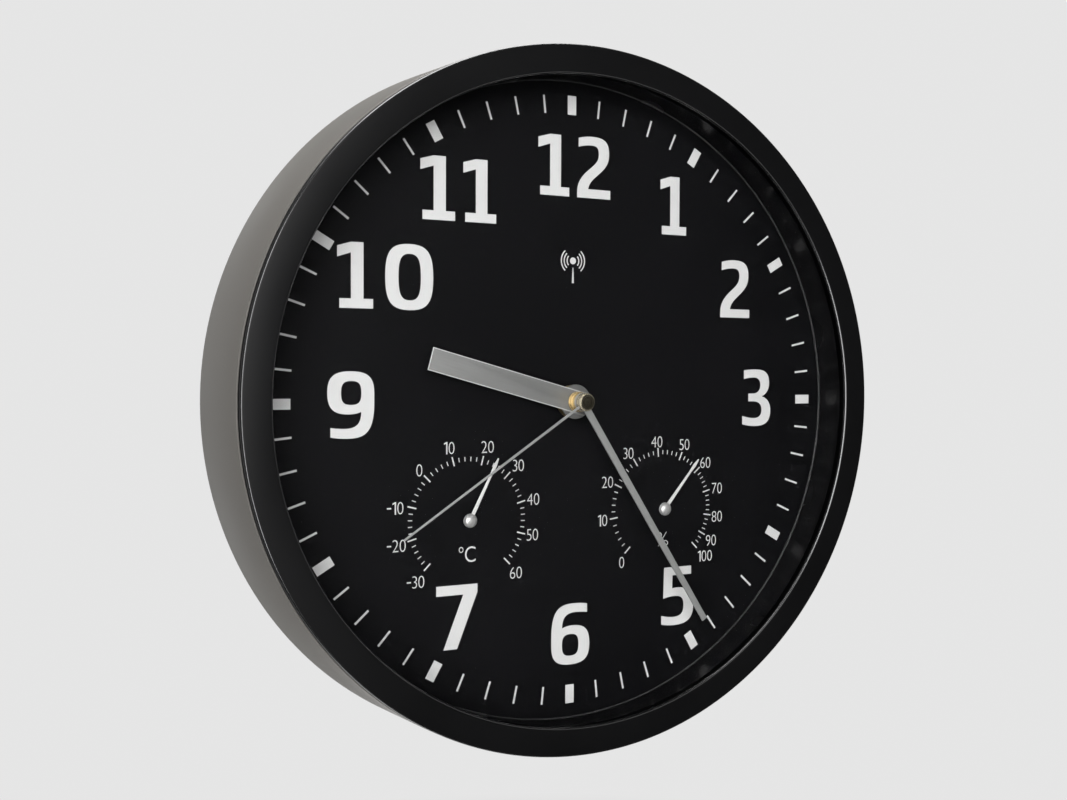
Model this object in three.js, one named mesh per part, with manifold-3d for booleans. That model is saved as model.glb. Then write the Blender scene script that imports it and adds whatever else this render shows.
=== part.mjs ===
// A round radio-controlled wall clock with a thermometer and a hygrometer on its dial.
// Millimetres. The clock faces -Y, +X is to the viewer's right and +Z is up.
// Pieces are drawn in a dial frame: x right, y up and z out of the dial towards the viewer.
import * as THREE from "three";
import { mergeVertices } from "three/addons/utils/BufferGeometryUtils.js";
import Module from "manifold-3d";

const wasm = await Module();
wasm.setup();

// Case: a flared ring whose back edge lies on the wall
const CASE_BACK_RADIUS = 150;
const CASE_FLARE = 3.7;
const CASE_WALL = 2.4;
const LEDGE_THICKNESS = 1.6;
const DIAL_LEDGE_WIDTH = 12;
const COVER_LEDGE_WIDTH = 9;

// Bezel, glass, spacer ring and dial
const BEZEL_STEP = 0.4;
const BEZEL_HEIGHT = 4.2;
const BEZEL_EDGE_ROUND = 1;
const BEZEL_LIP_ROUND = 1;
const BEZEL_LIP_THICKNESS = 4.1;
const BEZEL_SPIGOT_WALL = 4.5;
const BEZEL_SPIGOT_DEPTH = 7;
const BEZEL_SPIGOT_CLEARANCE = 0.4;
const SEAM = 0.6;
const GLASS_THICKNESS = 2;
const GLASS_OVERLAP = 4.9;
const GLASS_HEADROOM = 0.6;
const SPACER_WALL = 2.8;
const DIAL_FRONT_Z = 3.5;
const DIAL_THICKNESS = 1;
const DIAL_EDGE_CLEARANCE = 4;

// Back cover, its screws and its keyhole
const COVER_THICKNESS = 2;
const COVER_RECESS = 4.5;
const COVER_SCREWS = 6;
const COVER_SCREW_INSET = 7;
const SCREW_RADIUS = 1.1;
const SCREW_LENGTH = 9;
const SCREW_HEAD_RADIUS = 2.9;
const SCREW_HEAD_HEIGHT = 1.8;
const SCREW_SLOT_WIDTH = 0.8;
const SCREW_SLOT_DEPTH = 0.9;
const SCREW_SLOT_LENGTH = 3.8;
const SCREW_POINT_LENGTH = 1;
const SCREW_BOSS_RADIUS = 3;
const SCREW_BOSS_LENGTH = 8;
const KEYHOLE_HEIGHT = 100;
const KEYHOLE_HEAD_RADIUS = 5;
const KEYHOLE_NECK_WIDTH = 5;
const KEYHOLE_NECK_LENGTH = 12;
const VENT_COUNT = 5;
const VENT_PITCH = 6;
const VENT_WIDTH = 2.4;
const VENT_LENGTH = 24;
const VENT_CORNER = 1;

// Movement housing
const MOVEMENT_WALL = 1.3;
const WORKS_CLEARANCE = 0.6;
const MOVEMENT_CORNER = 3;
const COVER_OPENING_MARGIN = 1.5;

// Arbors, pipes and the threaded bushing that clamps the movement to the dial
const ARBOR_RADIUS = 0.75;
const PIPE_WALL = 0.7;
const RUNNING_CLEARANCE = 0.1;
const BUSHING_WALL = 1.25;
const BUSHING_PROUD = 0.4;
const BUSHING_FLANGE_RADIUS = 6;
const BUSHING_FLANGE_THICKNESS = 0.7;
const WASHER_RADIUS = 7;
const WASHER_THICKNESS = 0.5;
const NUT_ACROSS_CORNERS_RADIUS = 5.8;
const NUT_THICKNESS = 2;
const GASKET_RADIUS = 9;
const GASKET_THICKNESS = 0.3;

// Hands
const HOUR_HAND_LENGTH = 68.8;
const HOUR_HAND_WIDTH = 9.4;
const HOUR_HAND_BOSS_RADIUS = 7.3;
const HOUR_HAND_CLEARANCE = 0.8;
const HOUR_HAND_ANGLE = 285;
const MINUTE_HAND_LENGTH = 116;
const MINUTE_HAND_WIDTH = 3.1;
const MINUTE_HAND_TIP_WIDTH = 2.7;
const MINUTE_HAND_BOSS_RADIUS = 3.9;
const MINUTE_HAND_ANGLE = 147.2;
const MINUTE_COLLET_RADIUS = 4.25;
const MINUTE_COLLET_LENGTH = 4.6;
const MINUTE_COLLET_GROOVE = 0.35;
const SECOND_HAND_LENGTH = 96.5;
const SECOND_HAND_WIDTH = 1.1;
const SECOND_HAND_TIP_WIDTH = 0.8;
const SECOND_HAND_THICKNESS = 0.5;
const SECOND_HAND_ANGLE = 236.7;
const SECOND_COLLET_RADIUS = 3.8;
const SECOND_COLLET_LENGTH = 3.4;
const SECOND_COLLET_CHAMFER = 0.4;
const HAND_THICKNESS = 0.8;
const HAND_GAP = 0.4;

// Gauges
const GAUGE_X = 47.5;
const GAUGE_Y = -48.4;
const GAUGE_CUP_RADIUS = 19;
const GAUGE_CUP_DEPTH = 9;
const GAUGE_CUP_WALL = 1.2;
const GAUGE_SHAFT_RADIUS = 0.8;
const GAUGE_POINTER_LENGTH = 28.2;
const GAUGE_POINTER_WIDTH = 1;
const GAUGE_POINTER_BLADE_WIDTH = 1.5;
const GAUGE_POINTER_BLADE_START = 21;
const GAUGE_POINTER_BLADE_MIDDLE = 24.8;
const GAUGE_POINTER_TIP_WIDTH = 0.5;
const GAUGE_POINTER_THICKNESS = 0.4;
const GAUGE_POINTER_LIFT = 1.1;
const GAUGE_HUB_RADIUS = 2.9;
const GAUGE_HUB_HEIGHT = 1.8;
const COIL_TURNS = 3;
const COIL_STEPS_PER_TURN = 12;
const COIL_STRIP = 0.5;
const COIL_HEIGHT = 3;
const TEMPERATURE_READING = 24;
const TEMPERATURE_AT_TOP = 15;
const DEGREES_PER_KELVIN = 3;
const HUMIDITY_POINTER_ANGLE = 40;

// Gear trains
const TRAIN_MODULE = 0.66;
const PINION_TEETH = 6;
const IDLER_TEETH = 30;
const CENTRE_WHEEL_TEETH = 36;
const CANNON_TEETH = 8;
const MOTION_WHEEL_TEETH = 24;
const MOTION_PINION_TEETH = 8;
const HOUR_WHEEL_TEETH = 32;
const GEAR_THICKNESS = 1.2;
const PINION_OVERLAP = 0.1;
const GEAR_GAP = 0.4;
const TOOTH_ADDENDUM = 0.8;
const TOOTH_DEDENDUM = 1.15;
const TOOTH_ROOT_SHARE = 0.22;
const TOOTH_TIP_SHARE = 0.09;
const IDLER_ANGLE = 30;
const ROTOR_ANGLE = 45;
const POST_RADIUS = 0.7;

// Motors
const MAGNET_RADIUS = 3;
const MAGNET_LENGTH = 2.8;
const STATOR_THICKNESS = 1.2;
const STATOR_HOLE_RADIUS = 3.5;
const STATOR_HALF_WIDTH = 7.5;
const STATOR_BELOW = 5;
const STATOR_LEG_TOP = 13;
const STATOR_YOKE = 5;
const STATOR_LEG_WIDTH = 2.8;
const MOTOR_COIL_RADIUS = 2.6;
const PILLAR_RADIUS = 1.2;

// Receiver board, its parts and the aerial
const PLATE_THICKNESS = 1;
const BOARD_THICKNESS = 1.2;
const BOARD_GAP = 1.4;
const SWITCH_SIZE = 4;
const CHIP_RADIUS = 3.6;
const CHIP_TOP_RADIUS = 2.5;
const CHIP_HEIGHT = 0.7;
const CRYSTAL_RADIUS = 0.9;
const CRYSTAL_LENGTH = 6;
const AERIAL_ROD_RADIUS = 4;
const AERIAL_ROD_LENGTH = 50;
const AERIAL_COIL_RADIUS = 5;
const AERIAL_COIL_LENGTH = 26;
const AERIAL_HEADROOM = 2.3;
const AERIAL_RIB_HALF_LENGTH = 2;

// Battery
const CELL_RADIUS = 7.1;
const CELL_LENGTH = 49.2;
const CELL_NUB_RADIUS = 2.7;
const CELL_NUB_LENGTH = 1.2;
const CELL_CLEARANCE = 0.5;
const CELL_RECESS = 2.8;
const CONTACT_ROOM = 3.8;
const CONTACT_THICKNESS = 0.4;
const CONTACT_WIDTH = 8;
const CONTACT_SPRING_RADIUS = 3;

// Buttons on the back of the movement
const BUTTON_RADIUS = 2;
const BUTTON_CLEARANCE = 0.25;
const BUTTON_FLANGE_RADIUS = 3;
const BUTTON_FLANGE_THICKNESS = 1;
const BUTTON_PROUD = 0.9;
const BUTTON_TRAVEL = 0.8;
const BUTTON_SPACING = 14;

// Shared fits and facet counts
const FIT = 0.1;
const SEAT = 0.2;
const CUT_PAST = 1;
const MERGE_DISTANCE = 1e-4;
const RING_FACETS = 56;
const ROUND_FACETS = 14;
const COLLAR_FACETS = 20;
const PIN_FACETS = 10;
const ARC_FACETS = 4;
const SLOT_FACETS = 2;

// Levels of the dial, the hands and the glass, worked out from the driving sizes
const dialBackZ = DIAL_FRONT_Z - DIAL_THICKNESS;
const washerFrontZ = DIAL_FRONT_Z + FIT + WASHER_THICKNESS;
const nutFrontZ = washerFrontZ + FIT + NUT_THICKNESS;
const bushingFrontZ = nutFrontZ + BUSHING_PROUD;
const pointerZ = DIAL_FRONT_Z + GAUGE_POINTER_LIFT;
const hubCapZ = pointerZ + GAUGE_POINTER_THICKNESS + FIT;
const hourHandZ = Math.max(hubCapZ + GAUGE_HUB_HEIGHT, bushingFrontZ) + HOUR_HAND_CLEARANCE;
const minuteHandZ = hourHandZ + HAND_THICKNESS + HAND_GAP + MINUTE_COLLET_LENGTH + FIT;
const secondColletZ = minuteHandZ + HAND_THICKNESS + HAND_GAP;
const secondColletFrontZ = secondColletZ + SECOND_COLLET_LENGTH;
const secondHandZ = secondColletZ + (SECOND_COLLET_LENGTH - SECOND_HAND_THICKNESS) / 2;
const glassBackZ = secondColletFrontZ + GLASS_HEADROOM;
const glassFrontZ = glassBackZ + GLASS_THICKNESS;
const lipBackZ = glassFrontZ + FIT;
const bezelFrontZ = lipBackZ + BEZEL_LIP_THICKNESS;
const bezelSideZ = bezelFrontZ - BEZEL_HEIGHT;
const caseFrontZ = bezelSideZ - SEAM;

// Pipes round the centre arbor
const minutePipeBore = ARBOR_RADIUS + RUNNING_CLEARANCE;
const minutePipeRadius = minutePipeBore + PIPE_WALL;
const hourPipeBore = minutePipeRadius + RUNNING_CLEARANCE;
const hourPipeRadius = hourPipeBore + PIPE_WALL;
const bushingBore = hourPipeRadius + RUNNING_CLEARANCE;
const bushingRadius = bushingBore + BUSHING_WALL;

// Gear centres
const radians = THREE.MathUtils.degToRad;
const idlerDistance = (TRAIN_MODULE * (CENTRE_WHEEL_TEETH + PINION_TEETH)) / 2;
const rotorDistance = (TRAIN_MODULE * (IDLER_TEETH + PINION_TEETH)) / 2;
const motionDistance = (TRAIN_MODULE * (CANNON_TEETH + MOTION_WHEEL_TEETH)) / 2;
const hourModule = (2 * motionDistance) / (MOTION_PINION_TEETH + HOUR_WHEEL_TEETH);
const centreWheelTip = TRAIN_MODULE * (CENTRE_WHEEL_TEETH / 2 + TOOTH_ADDENDUM);
const idlerX = idlerDistance * Math.cos(radians(IDLER_ANGLE));
const idlerY = idlerDistance * Math.sin(radians(IDLER_ANGLE));
const rotorX = idlerX + rotorDistance * Math.cos(radians(ROTOR_ANGLE));
const rotorY = idlerY + rotorDistance * Math.sin(radians(ROTOR_ANGLE));

// Movement: the housing takes its size from the battery, the wheels, the motors and the aerial
const movementFrontZ = dialBackZ - GASKET_THICKNESS - 2 * FIT;
const frontPlateBackZ = movementFrontZ - MOVEMENT_WALL;
const rearFrontZ = frontPlateBackZ - FIT;
const bayFrontZ = rearFrontZ - MOVEMENT_WALL;
const cellZ = bayFrontZ - CELL_CLEARANCE - CELL_RADIUS;
const movementBackZ = cellZ - CELL_RADIUS - CELL_RECESS;
const housingFloorZ = movementBackZ + MOVEMENT_WALL;
const gearPlateFrontZ = housingFloorZ + FIT + PLATE_THICKNESS;
const worksBottom = -centreWheelTip - WORKS_CLEARANCE;
const bayTop = worksBottom - MOVEMENT_WALL;
const cellY = bayTop - CELL_CLEARANCE - CELL_RADIUS;
const bayBottom = cellY - CELL_RADIUS - CELL_CLEARANCE;
const movementBottom = bayBottom - MOVEMENT_WALL;
const gearPlateTop = rotorY + STATOR_LEG_TOP + WORKS_CLEARANCE;
const boardBottom = gearPlateTop + BOARD_GAP;
const aerialY = boardBottom + AERIAL_COIL_RADIUS + WORKS_CLEARANCE;
const worksTop = aerialY + AERIAL_COIL_RADIUS + WORKS_CLEARANCE;
const movementTop = worksTop + MOVEMENT_WALL;
const contactReach = CELL_LENGTH / 2 + CELL_NUB_LENGTH + CONTACT_ROOM;
const widestReach = Math.max(contactReach, rotorX + STATOR_HALF_WIDTH, AERIAL_ROD_LENGTH / 2);
const worksHalfWidth = widestReach + WORKS_CLEARANCE;
const movementHalfWidth = worksHalfWidth + MOVEMENT_WALL;
const aerialZ = frontPlateBackZ - AERIAL_HEADROOM - AERIAL_COIL_RADIUS;
const boardFrontZ = aerialZ - AERIAL_COIL_RADIUS - CHIP_HEIGHT - WORKS_CLEARANCE;
const boardBackZ = boardFrontZ - BOARD_THICKNESS;
const buttonFlangeFrontZ = housingFloorZ + FIT + BUTTON_FLANGE_THICKNESS;
const switchBackZ = buttonFlangeFrontZ + BUTTON_TRAVEL;

// Back cover and the back edge of the case
const coverFrontZ = movementBackZ - SEAT - FIT;
const coverBackZ = coverFrontZ - COVER_THICKNESS;
const caseBackZ = coverBackZ - COVER_RECESS;

// Radii, from the case's back edge inwards
const caseFrontRadius = CASE_BACK_RADIUS - CASE_FLARE;
const bezelRadius = caseFrontRadius - BEZEL_STEP;
const spigotOuterRadius = caseFrontRadius - CASE_WALL - BEZEL_SPIGOT_CLEARANCE;
const spigotInnerRadius = spigotOuterRadius - BEZEL_SPIGOT_WALL;
const glassRadius = spigotInnerRadius - SEAT;
const bezelOpeningRadius = glassRadius - GLASS_OVERLAP;
const dialRadius = caseInnerRadius(DIAL_FRONT_Z) - DIAL_EDGE_CLEARANCE;
const coverScrewCircle = caseInnerRadius(coverFrontZ) - COVER_SCREW_INSET;

// Gear levels, from the front of the movement to the back: each entry is the wheel's back face
const bushingFlangeBackZ = frontPlateBackZ - FIT - BUSHING_FLANGE_THICKNESS;
const hourWheelZ = bushingFlangeBackZ - GEAR_GAP - GEAR_THICKNESS;
const motionWheelZ = hourWheelZ - GEAR_GAP - GEAR_THICKNESS;
const minuteWheelZ = motionWheelZ - GEAR_GAP - GEAR_THICKNESS;
const timeIdlerZ = minuteWheelZ - GEAR_GAP - GEAR_THICKNESS;
const secondsWheelZ = timeIdlerZ - GEAR_GAP - GEAR_THICKNESS;
const secondsIdlerZ = secondsWheelZ - GEAR_GAP - GEAR_THICKNESS;

// Case radii on the flared wall at a level z
function caseOuterRadius(z) {
  const share = (z - caseBackZ) / (caseFrontZ - caseBackZ);
  return CASE_BACK_RADIUS - CASE_FLARE * share;
}

function caseInnerRadius(z) {
  return caseOuterRadius(z) - CASE_WALL;
}

// Shape helpers: every helper returns a closed manifold solid in the dial frame
function solidFrom(geometry) {
  const bare = geometry.clone();
  bare.deleteAttribute("normal");
  bare.deleteAttribute("uv");
  const merged = mergeVertices(bare, MERGE_DISTANCE);
  const index = merged.index.array;
  const triangles = [];
  for (let i = 0; i < index.length; i += 3) {
    const [a, b, c] = [index[i], index[i + 1], index[i + 2]];
    if (a !== b && b !== c && c !== a) triangles.push(a, b, c);
  }
  const vertices = merged.attributes.position.array;
  const make = (list) => {
    const triVerts = new Uint32Array(list);
    return new wasm.Manifold(new wasm.Mesh({ numProp: 3, vertProperties: vertices, triVerts }));
  };
  const solid = make(triangles);
  return solid.volume() > 0 ? solid : make(triangles.reverse());
}

function geometryFrom(solid) {
  const mesh = solid.getMesh();
  const geometry = new THREE.BufferGeometry();
  geometry.setAttribute("position", new THREE.BufferAttribute(new Float32Array(mesh.vertProperties), 3));
  geometry.setIndex(new THREE.BufferAttribute(new Uint32Array(mesh.triVerts), 1));
  geometry.computeVertexNormals();
  return geometry;
}

// A solid turned about the dial axis, or about (x, y), from [radius, z] points
function turned(points, facets = ROUND_FACETS, x = 0, y = 0) {
  const onAxis = points[0][0] === 0;
  const profile = points.map(([radius, z]) => new THREE.Vector2(radius, z));
  if (!onAxis) profile.push(profile[0].clone());
  const geometry = new THREE.LatheGeometry(profile, facets);
  return solidFrom(geometry.rotateX(Math.PI / 2).translate(x, y, 0));
}

function tube(inner, outer, back, front, facets = ROUND_FACETS, x = 0, y = 0) {
  const section = [
    [inner, back],
    [outer, back],
    [outer, front],
    [inner, front],
  ];
  return turned(section, facets, x, y);
}

function rod(radius, back, front, facets = ROUND_FACETS, x = 0, y = 0) {
  const section = [
    [0, back],
    [radius, back],
    [radius, front],
    [0, front],
  ];
  return turned(section, facets, x, y);
}

// A round cutter that runs past both faces
function drill(radius, back, front, facets = ROUND_FACETS, x = 0, y = 0) {
  return rod(radius, back - CUT_PAST, front + CUT_PAST, facets, x, y);
}

// A rod along x, between two ends
function rodAlongX(radius, left, right, y, z, facets = ROUND_FACETS) {
  const geometry = new THREE.CylinderGeometry(radius, radius, right - left, facets);
  return solidFrom(geometry.rotateZ(Math.PI / 2).translate((left + right) / 2, y, z));
}

function box(left, right, bottom, top, back, front) {
  const geometry = new THREE.BoxGeometry(right - left, top - bottom, front - back);
  return solidFrom(geometry.translate((left + right) / 2, (bottom + top) / 2, (back + front) / 2));
}

// A flat plate from an outline of [x, y] points
function plate(outline, back, front) {
  const shape = new THREE.Shape(outline.map(([x, y]) => new THREE.Vector2(x, y)));
  const geometry = new THREE.ExtrudeGeometry(shape, { depth: front - back, bevelEnabled: false });
  return solidFrom(geometry.translate(0, 0, back));
}

function arcPoints(x, y, radius, from, to, steps) {
  const points = [];
  for (let i = 0; i <= steps; i++) {
    const angle = radians(from + ((to - from) * i) / steps);
    points.push([x + radius * Math.cos(angle), y + radius * Math.sin(angle)]);
  }
  return points;
}

function roundedRectangle(left, right, bottom, top, corner, facets = ARC_FACETS) {
  return [
    ...arcPoints(right - corner, bottom + corner, corner, -90, 0, facets),
    ...arcPoints(right - corner, top - corner, corner, 0, 90, facets),
    ...arcPoints(left + corner, top - corner, corner, 90, 180, facets),
    ...arcPoints(left + corner, bottom + corner, corner, 180, 270, facets),
  ];
}

// Turns a plate's outline from pointing up to a clock angle
function atClockAngle(outline, degrees) {
  const angle = radians(degrees);
  const [c, s] = [Math.cos(angle), Math.sin(angle)];
  return outline.map(([x, y]) => [x * c + y * s, y * c - x * s]);
}

function polar(radius, degrees) {
  return [radius * Math.cos(radians(degrees)), radius * Math.sin(radians(degrees))];
}

// Gear teeth with straight flanks: phase is the direction of one tooth in degrees
function gearOutline(teeth, module, phase, x, y) {
  const tip = (module * teeth) / 2 + module * TOOTH_ADDENDUM;
  const root = (module * teeth) / 2 - module * TOOTH_DEDENDUM;
  const step = 360 / teeth;
  const points = [];
  for (let i = 0; i < teeth; i++) {
    const middle = phase + i * step;
    const corners = [
      [root, -TOOTH_ROOT_SHARE],
      [tip, -TOOTH_TIP_SHARE],
      [tip, TOOTH_TIP_SHARE],
      [root, TOOTH_ROOT_SHARE],
    ];
    for (const [radius, share] of corners) {
      const [px, py] = polar(radius, middle + share * step);
      points.push([x + px, y + py]);
    }
  }
  return points;
}

function gear(teeth, module, phase, back, front, x = 0, y = 0) {
  return plate(gearOutline(teeth, module, phase, x, y), back, front);
}

// Scene graph
const clock = new THREE.Group();
const dialFrame = new THREE.Group();
dialFrame.rotation.x = Math.PI / 2;
clock.add(dialFrame);

const finishes = {
  caseGrey: { color: 0x7a7672, roughness: 0.4, metalness: 0.3 },
  blackGloss: { color: 0x0b0b0c, roughness: 0.2, metalness: 0 },
  blackSatin: { color: 0x121213, roughness: 0.6, metalness: 0 },
  glass: { color: 0xffffff, roughness: 0.02, metalness: 0 },
  handSilver: { color: 0x9a9c9a, roughness: 0.35, metalness: 0.8 },
  brass: { color: 0xc9a24c, roughness: 0.25, metalness: 1 },
  steel: { color: 0xb4b6b8, roughness: 0.3, metalness: 1 },
  rubber: { color: 0x1a1a1a, roughness: 0.9, metalness: 0 },
  whitePlastic: { color: 0xe4e2da, roughness: 0.5, metalness: 0 },
  copper: { color: 0xa8582c, roughness: 0.4, metalness: 0.8 },
  board: { color: 0x1f5a35, roughness: 0.6, metalness: 0 },
  ferrite: { color: 0x2b2b2e, roughness: 0.8, metalness: 0 },
  cellJacket: { color: 0x2f4a6b, roughness: 0.35, metalness: 0.3 },
  pointer: { color: 0xd6d6d4, roughness: 0.4, metalness: 0.4 },
};

function addPiece(name, solid, finish) {
  const mesh = new THREE.Mesh(geometryFrom(solid), new THREE.MeshStandardMaterial(finishes[finish]));
  mesh.name = name;
  dialFrame.add(mesh);
}

// Screw places on the back cover, evenly round from half a step
function screwPlaces() {
  const places = [];
  for (let i = 0; i < COVER_SCREWS; i++) {
    places.push(polar(coverScrewCircle, (360 * (i + 0.5)) / COVER_SCREWS));
  }
  return places;
}

// Case ring with a ledge for the dial, a ledge for the cover and bosses for the cover screws
function caseRing() {
  const dialLedgeFront = dialBackZ - FIT;
  const dialLedgeBack = dialLedgeFront - LEDGE_THICKNESS;
  const coverLedgeBack = coverFrontZ + FIT;
  const coverLedgeFront = coverLedgeBack + LEDGE_THICKNESS;
  const dialLedgeRadius = caseInnerRadius(dialLedgeFront) - DIAL_LEDGE_WIDTH;
  const coverLedgeRadius = caseInnerRadius(coverLedgeBack) - COVER_LEDGE_WIDTH;
  const section = [
    [caseOuterRadius(caseBackZ), caseBackZ],
    [caseOuterRadius(caseFrontZ), caseFrontZ],
    [caseInnerRadius(caseFrontZ), caseFrontZ],
    [caseInnerRadius(dialLedgeFront), dialLedgeFront],
    [dialLedgeRadius, dialLedgeFront],
    [dialLedgeRadius, dialLedgeBack],
    [caseInnerRadius(dialLedgeBack), dialLedgeBack],
    [caseInnerRadius(coverLedgeFront), coverLedgeFront],
    [coverLedgeRadius, coverLedgeFront],
    [coverLedgeRadius, coverLedgeBack],
    [caseInnerRadius(coverLedgeBack), coverLedgeBack],
    [caseInnerRadius(caseBackZ), caseBackZ],
  ];
  let ring = turned(section, RING_FACETS);
  const bossFront = coverLedgeBack + SCREW_BOSS_LENGTH;
  const holeFront = coverBackZ + SCREW_LENGTH + FIT;
  for (const [x, y] of screwPlaces()) {
    ring = ring.add(rod(SCREW_BOSS_RADIUS, coverLedgeBack, bossFront, PIN_FACETS, x, y));
    ring = ring.subtract(rod(SCREW_RADIUS + FIT, caseBackZ, holeFront, PIN_FACETS, x, y));
  }
  return ring;
}

// Bezel: a flat face, a rounded rim and lip, and a spigot that fits inside the case ring
function frontBezel() {
  const rim = arcPoints(
    bezelRadius - BEZEL_EDGE_ROUND,
    bezelFrontZ - BEZEL_EDGE_ROUND,
    BEZEL_EDGE_ROUND,
    0,
    90,
    ARC_FACETS / 2,
  );
  const lip = arcPoints(
    bezelOpeningRadius + BEZEL_LIP_ROUND,
    bezelFrontZ - BEZEL_LIP_ROUND,
    BEZEL_LIP_ROUND,
    90,
    180,
    ARC_FACETS / 2,
  );
  const section = [
    [bezelRadius, bezelSideZ],
    ...rim,
    ...lip,
    [bezelOpeningRadius, lipBackZ],
    [spigotInnerRadius, lipBackZ],
    [spigotInnerRadius, bezelSideZ - BEZEL_SPIGOT_DEPTH],
    [spigotOuterRadius, bezelSideZ - BEZEL_SPIGOT_DEPTH],
    [spigotOuterRadius, bezelSideZ],
  ];
  return turned(section, RING_FACETS);
}

// Dial with holes for the bushing and for the two pointer shafts
function dialPlate() {
  let dial = rod(dialRadius, dialBackZ, DIAL_FRONT_Z, RING_FACETS);
  dial = dial.subtract(drill(bushingRadius + SEAT, dialBackZ, DIAL_FRONT_Z));
  for (const side of [-1, 1]) {
    const x = side * GAUGE_X;
    dial = dial.subtract(drill(GAUGE_SHAFT_RADIUS + SEAT, dialBackZ, DIAL_FRONT_Z, PIN_FACETS, x, GAUGE_Y));
  }
  return dial;
}

// Back cover: movement opening, keyhole, screw holes and vents behind the gauges
function backCover() {
  const radius = caseInnerRadius(coverFrontZ) - SEAT;
  const [back, front] = [coverBackZ - CUT_PAST, coverFrontZ + CUT_PAST];
  let cover = rod(radius, coverBackZ, coverFrontZ, RING_FACETS);
  const opening = roundedRectangle(
    -movementHalfWidth - COVER_OPENING_MARGIN,
    movementHalfWidth + COVER_OPENING_MARGIN,
    movementBottom - COVER_OPENING_MARGIN,
    movementTop + COVER_OPENING_MARGIN,
    MOVEMENT_CORNER + COVER_OPENING_MARGIN,
  );
  cover = cover.subtract(plate(opening, back, front));
  const neckTop = KEYHOLE_HEIGHT + KEYHOLE_NECK_LENGTH;
  const neck = [
    [-KEYHOLE_NECK_WIDTH / 2, KEYHOLE_HEIGHT],
    ...arcPoints(0, neckTop, KEYHOLE_NECK_WIDTH / 2, 180, 0, ARC_FACETS * 2),
    [KEYHOLE_NECK_WIDTH / 2, KEYHOLE_HEIGHT],
  ];
  const keyhole = rod(KEYHOLE_HEAD_RADIUS, back, front, ROUND_FACETS, 0, KEYHOLE_HEIGHT);
  cover = cover.subtract(keyhole.add(plate(neck, back, front)));
  for (const [x, y] of screwPlaces()) {
    cover = cover.subtract(rod(SCREW_RADIUS + SEAT, back, front, PIN_FACETS, x, y));
  }
  for (const side of [-1, 1]) {
    for (let i = 0; i < VENT_COUNT; i++) {
      const y = GAUGE_Y + (i - (VENT_COUNT - 1) / 2) * VENT_PITCH;
      const left = side * GAUGE_X - VENT_LENGTH / 2;
      const [low, high] = [y - VENT_WIDTH / 2, y + VENT_WIDTH / 2];
      const slot = roundedRectangle(left, left + VENT_LENGTH, low, high, VENT_CORNER, SLOT_FACETS);
      cover = cover.subtract(plate(slot, back, front));
    }
  }
  return cover;
}

function coverScrew(x, y) {
  const headFront = coverBackZ - FIT;
  const headBack = headFront - SCREW_HEAD_HEIGHT;
  const section = [
    [0, headBack],
    [SCREW_HEAD_RADIUS, headBack],
    [SCREW_HEAD_RADIUS, headFront],
    [SCREW_RADIUS, headFront],
    [SCREW_RADIUS, coverBackZ + SCREW_LENGTH - SCREW_POINT_LENGTH],
    [0, coverBackZ + SCREW_LENGTH],
  ];
  const reach = SCREW_SLOT_LENGTH / 2;
  const half = SCREW_SLOT_WIDTH / 2;
  const slotFront = headBack + SCREW_SLOT_DEPTH;
  const across = box(x - reach, x + reach, y - half, y + half, headBack - CUT_PAST, slotFront);
  const upright = box(x - half, x + half, y - reach, y + reach, headBack - CUT_PAST, slotFront);
  return turned(section, PIN_FACETS, x, y).subtract(across.add(upright));
}

// Hands: a bar with a round boss, tapered to its tip
function handOutline(length, rootWidth, tipWidth, bossRadius) {
  const halfRoot = rootWidth / 2;
  const meets = (Math.asin(halfRoot / bossRadius) * 180) / Math.PI;
  return [
    ...arcPoints(0, 0, bossRadius, 90 + meets, 450 - meets, COLLAR_FACETS),
    [tipWidth / 2, length],
    [-tipWidth / 2, length],
  ];
}

function hourHand() {
  const outline = handOutline(HOUR_HAND_LENGTH, HOUR_HAND_WIDTH, HOUR_HAND_WIDTH, HOUR_HAND_BOSS_RADIUS);
  const hand = plate(atClockAngle(outline, HOUR_HAND_ANGLE), hourHandZ, hourHandZ + HAND_THICKNESS);
  return hand.subtract(drill(hourPipeRadius + FIT, hourHandZ, hourHandZ + HAND_THICKNESS));
}

function minuteHand() {
  const outline = handOutline(
    MINUTE_HAND_LENGTH,
    MINUTE_HAND_WIDTH,
    MINUTE_HAND_TIP_WIDTH,
    MINUTE_HAND_BOSS_RADIUS,
  );
  const hand = plate(atClockAngle(outline, MINUTE_HAND_ANGLE), minuteHandZ, minuteHandZ + HAND_THICKNESS);
  return hand.subtract(drill(minutePipeRadius + FIT, minuteHandZ, minuteHandZ + HAND_THICKNESS));
}

// Turned brass collet under the minute hand, with two shallow grooves
function minuteCollet() {
  const back = minuteHandZ - FIT - MINUTE_COLLET_LENGTH;
  const bore = minutePipeRadius + FIT;
  const groove = MINUTE_COLLET_RADIUS - MINUTE_COLLET_GROOVE;
  const fifth = MINUTE_COLLET_LENGTH / 5;
  const section = [
    [bore, back],
    [MINUTE_COLLET_RADIUS, back],
    [MINUTE_COLLET_RADIUS, back + fifth],
    [groove, back + fifth],
    [groove, back + 2 * fifth],
    [MINUTE_COLLET_RADIUS, back + 2 * fifth],
    [MINUTE_COLLET_RADIUS, back + 3 * fifth],
    [groove, back + 3 * fifth],
    [groove, back + 5 * fifth],
    [bore, back + 5 * fifth],
  ];
  return turned(section, COLLAR_FACETS);
}

function secondHand() {
  const half = SECOND_HAND_WIDTH / 2;
  const root = ARBOR_RADIUS + SEAT;
  const outline = [
    [-half, root],
    [half, root],
    [SECOND_HAND_TIP_WIDTH / 2, SECOND_HAND_LENGTH],
    [-SECOND_HAND_TIP_WIDTH / 2, SECOND_HAND_LENGTH],
  ];
  return plate(atClockAngle(outline, SECOND_HAND_ANGLE), secondHandZ, secondHandZ + SECOND_HAND_THICKNESS);
}

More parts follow.
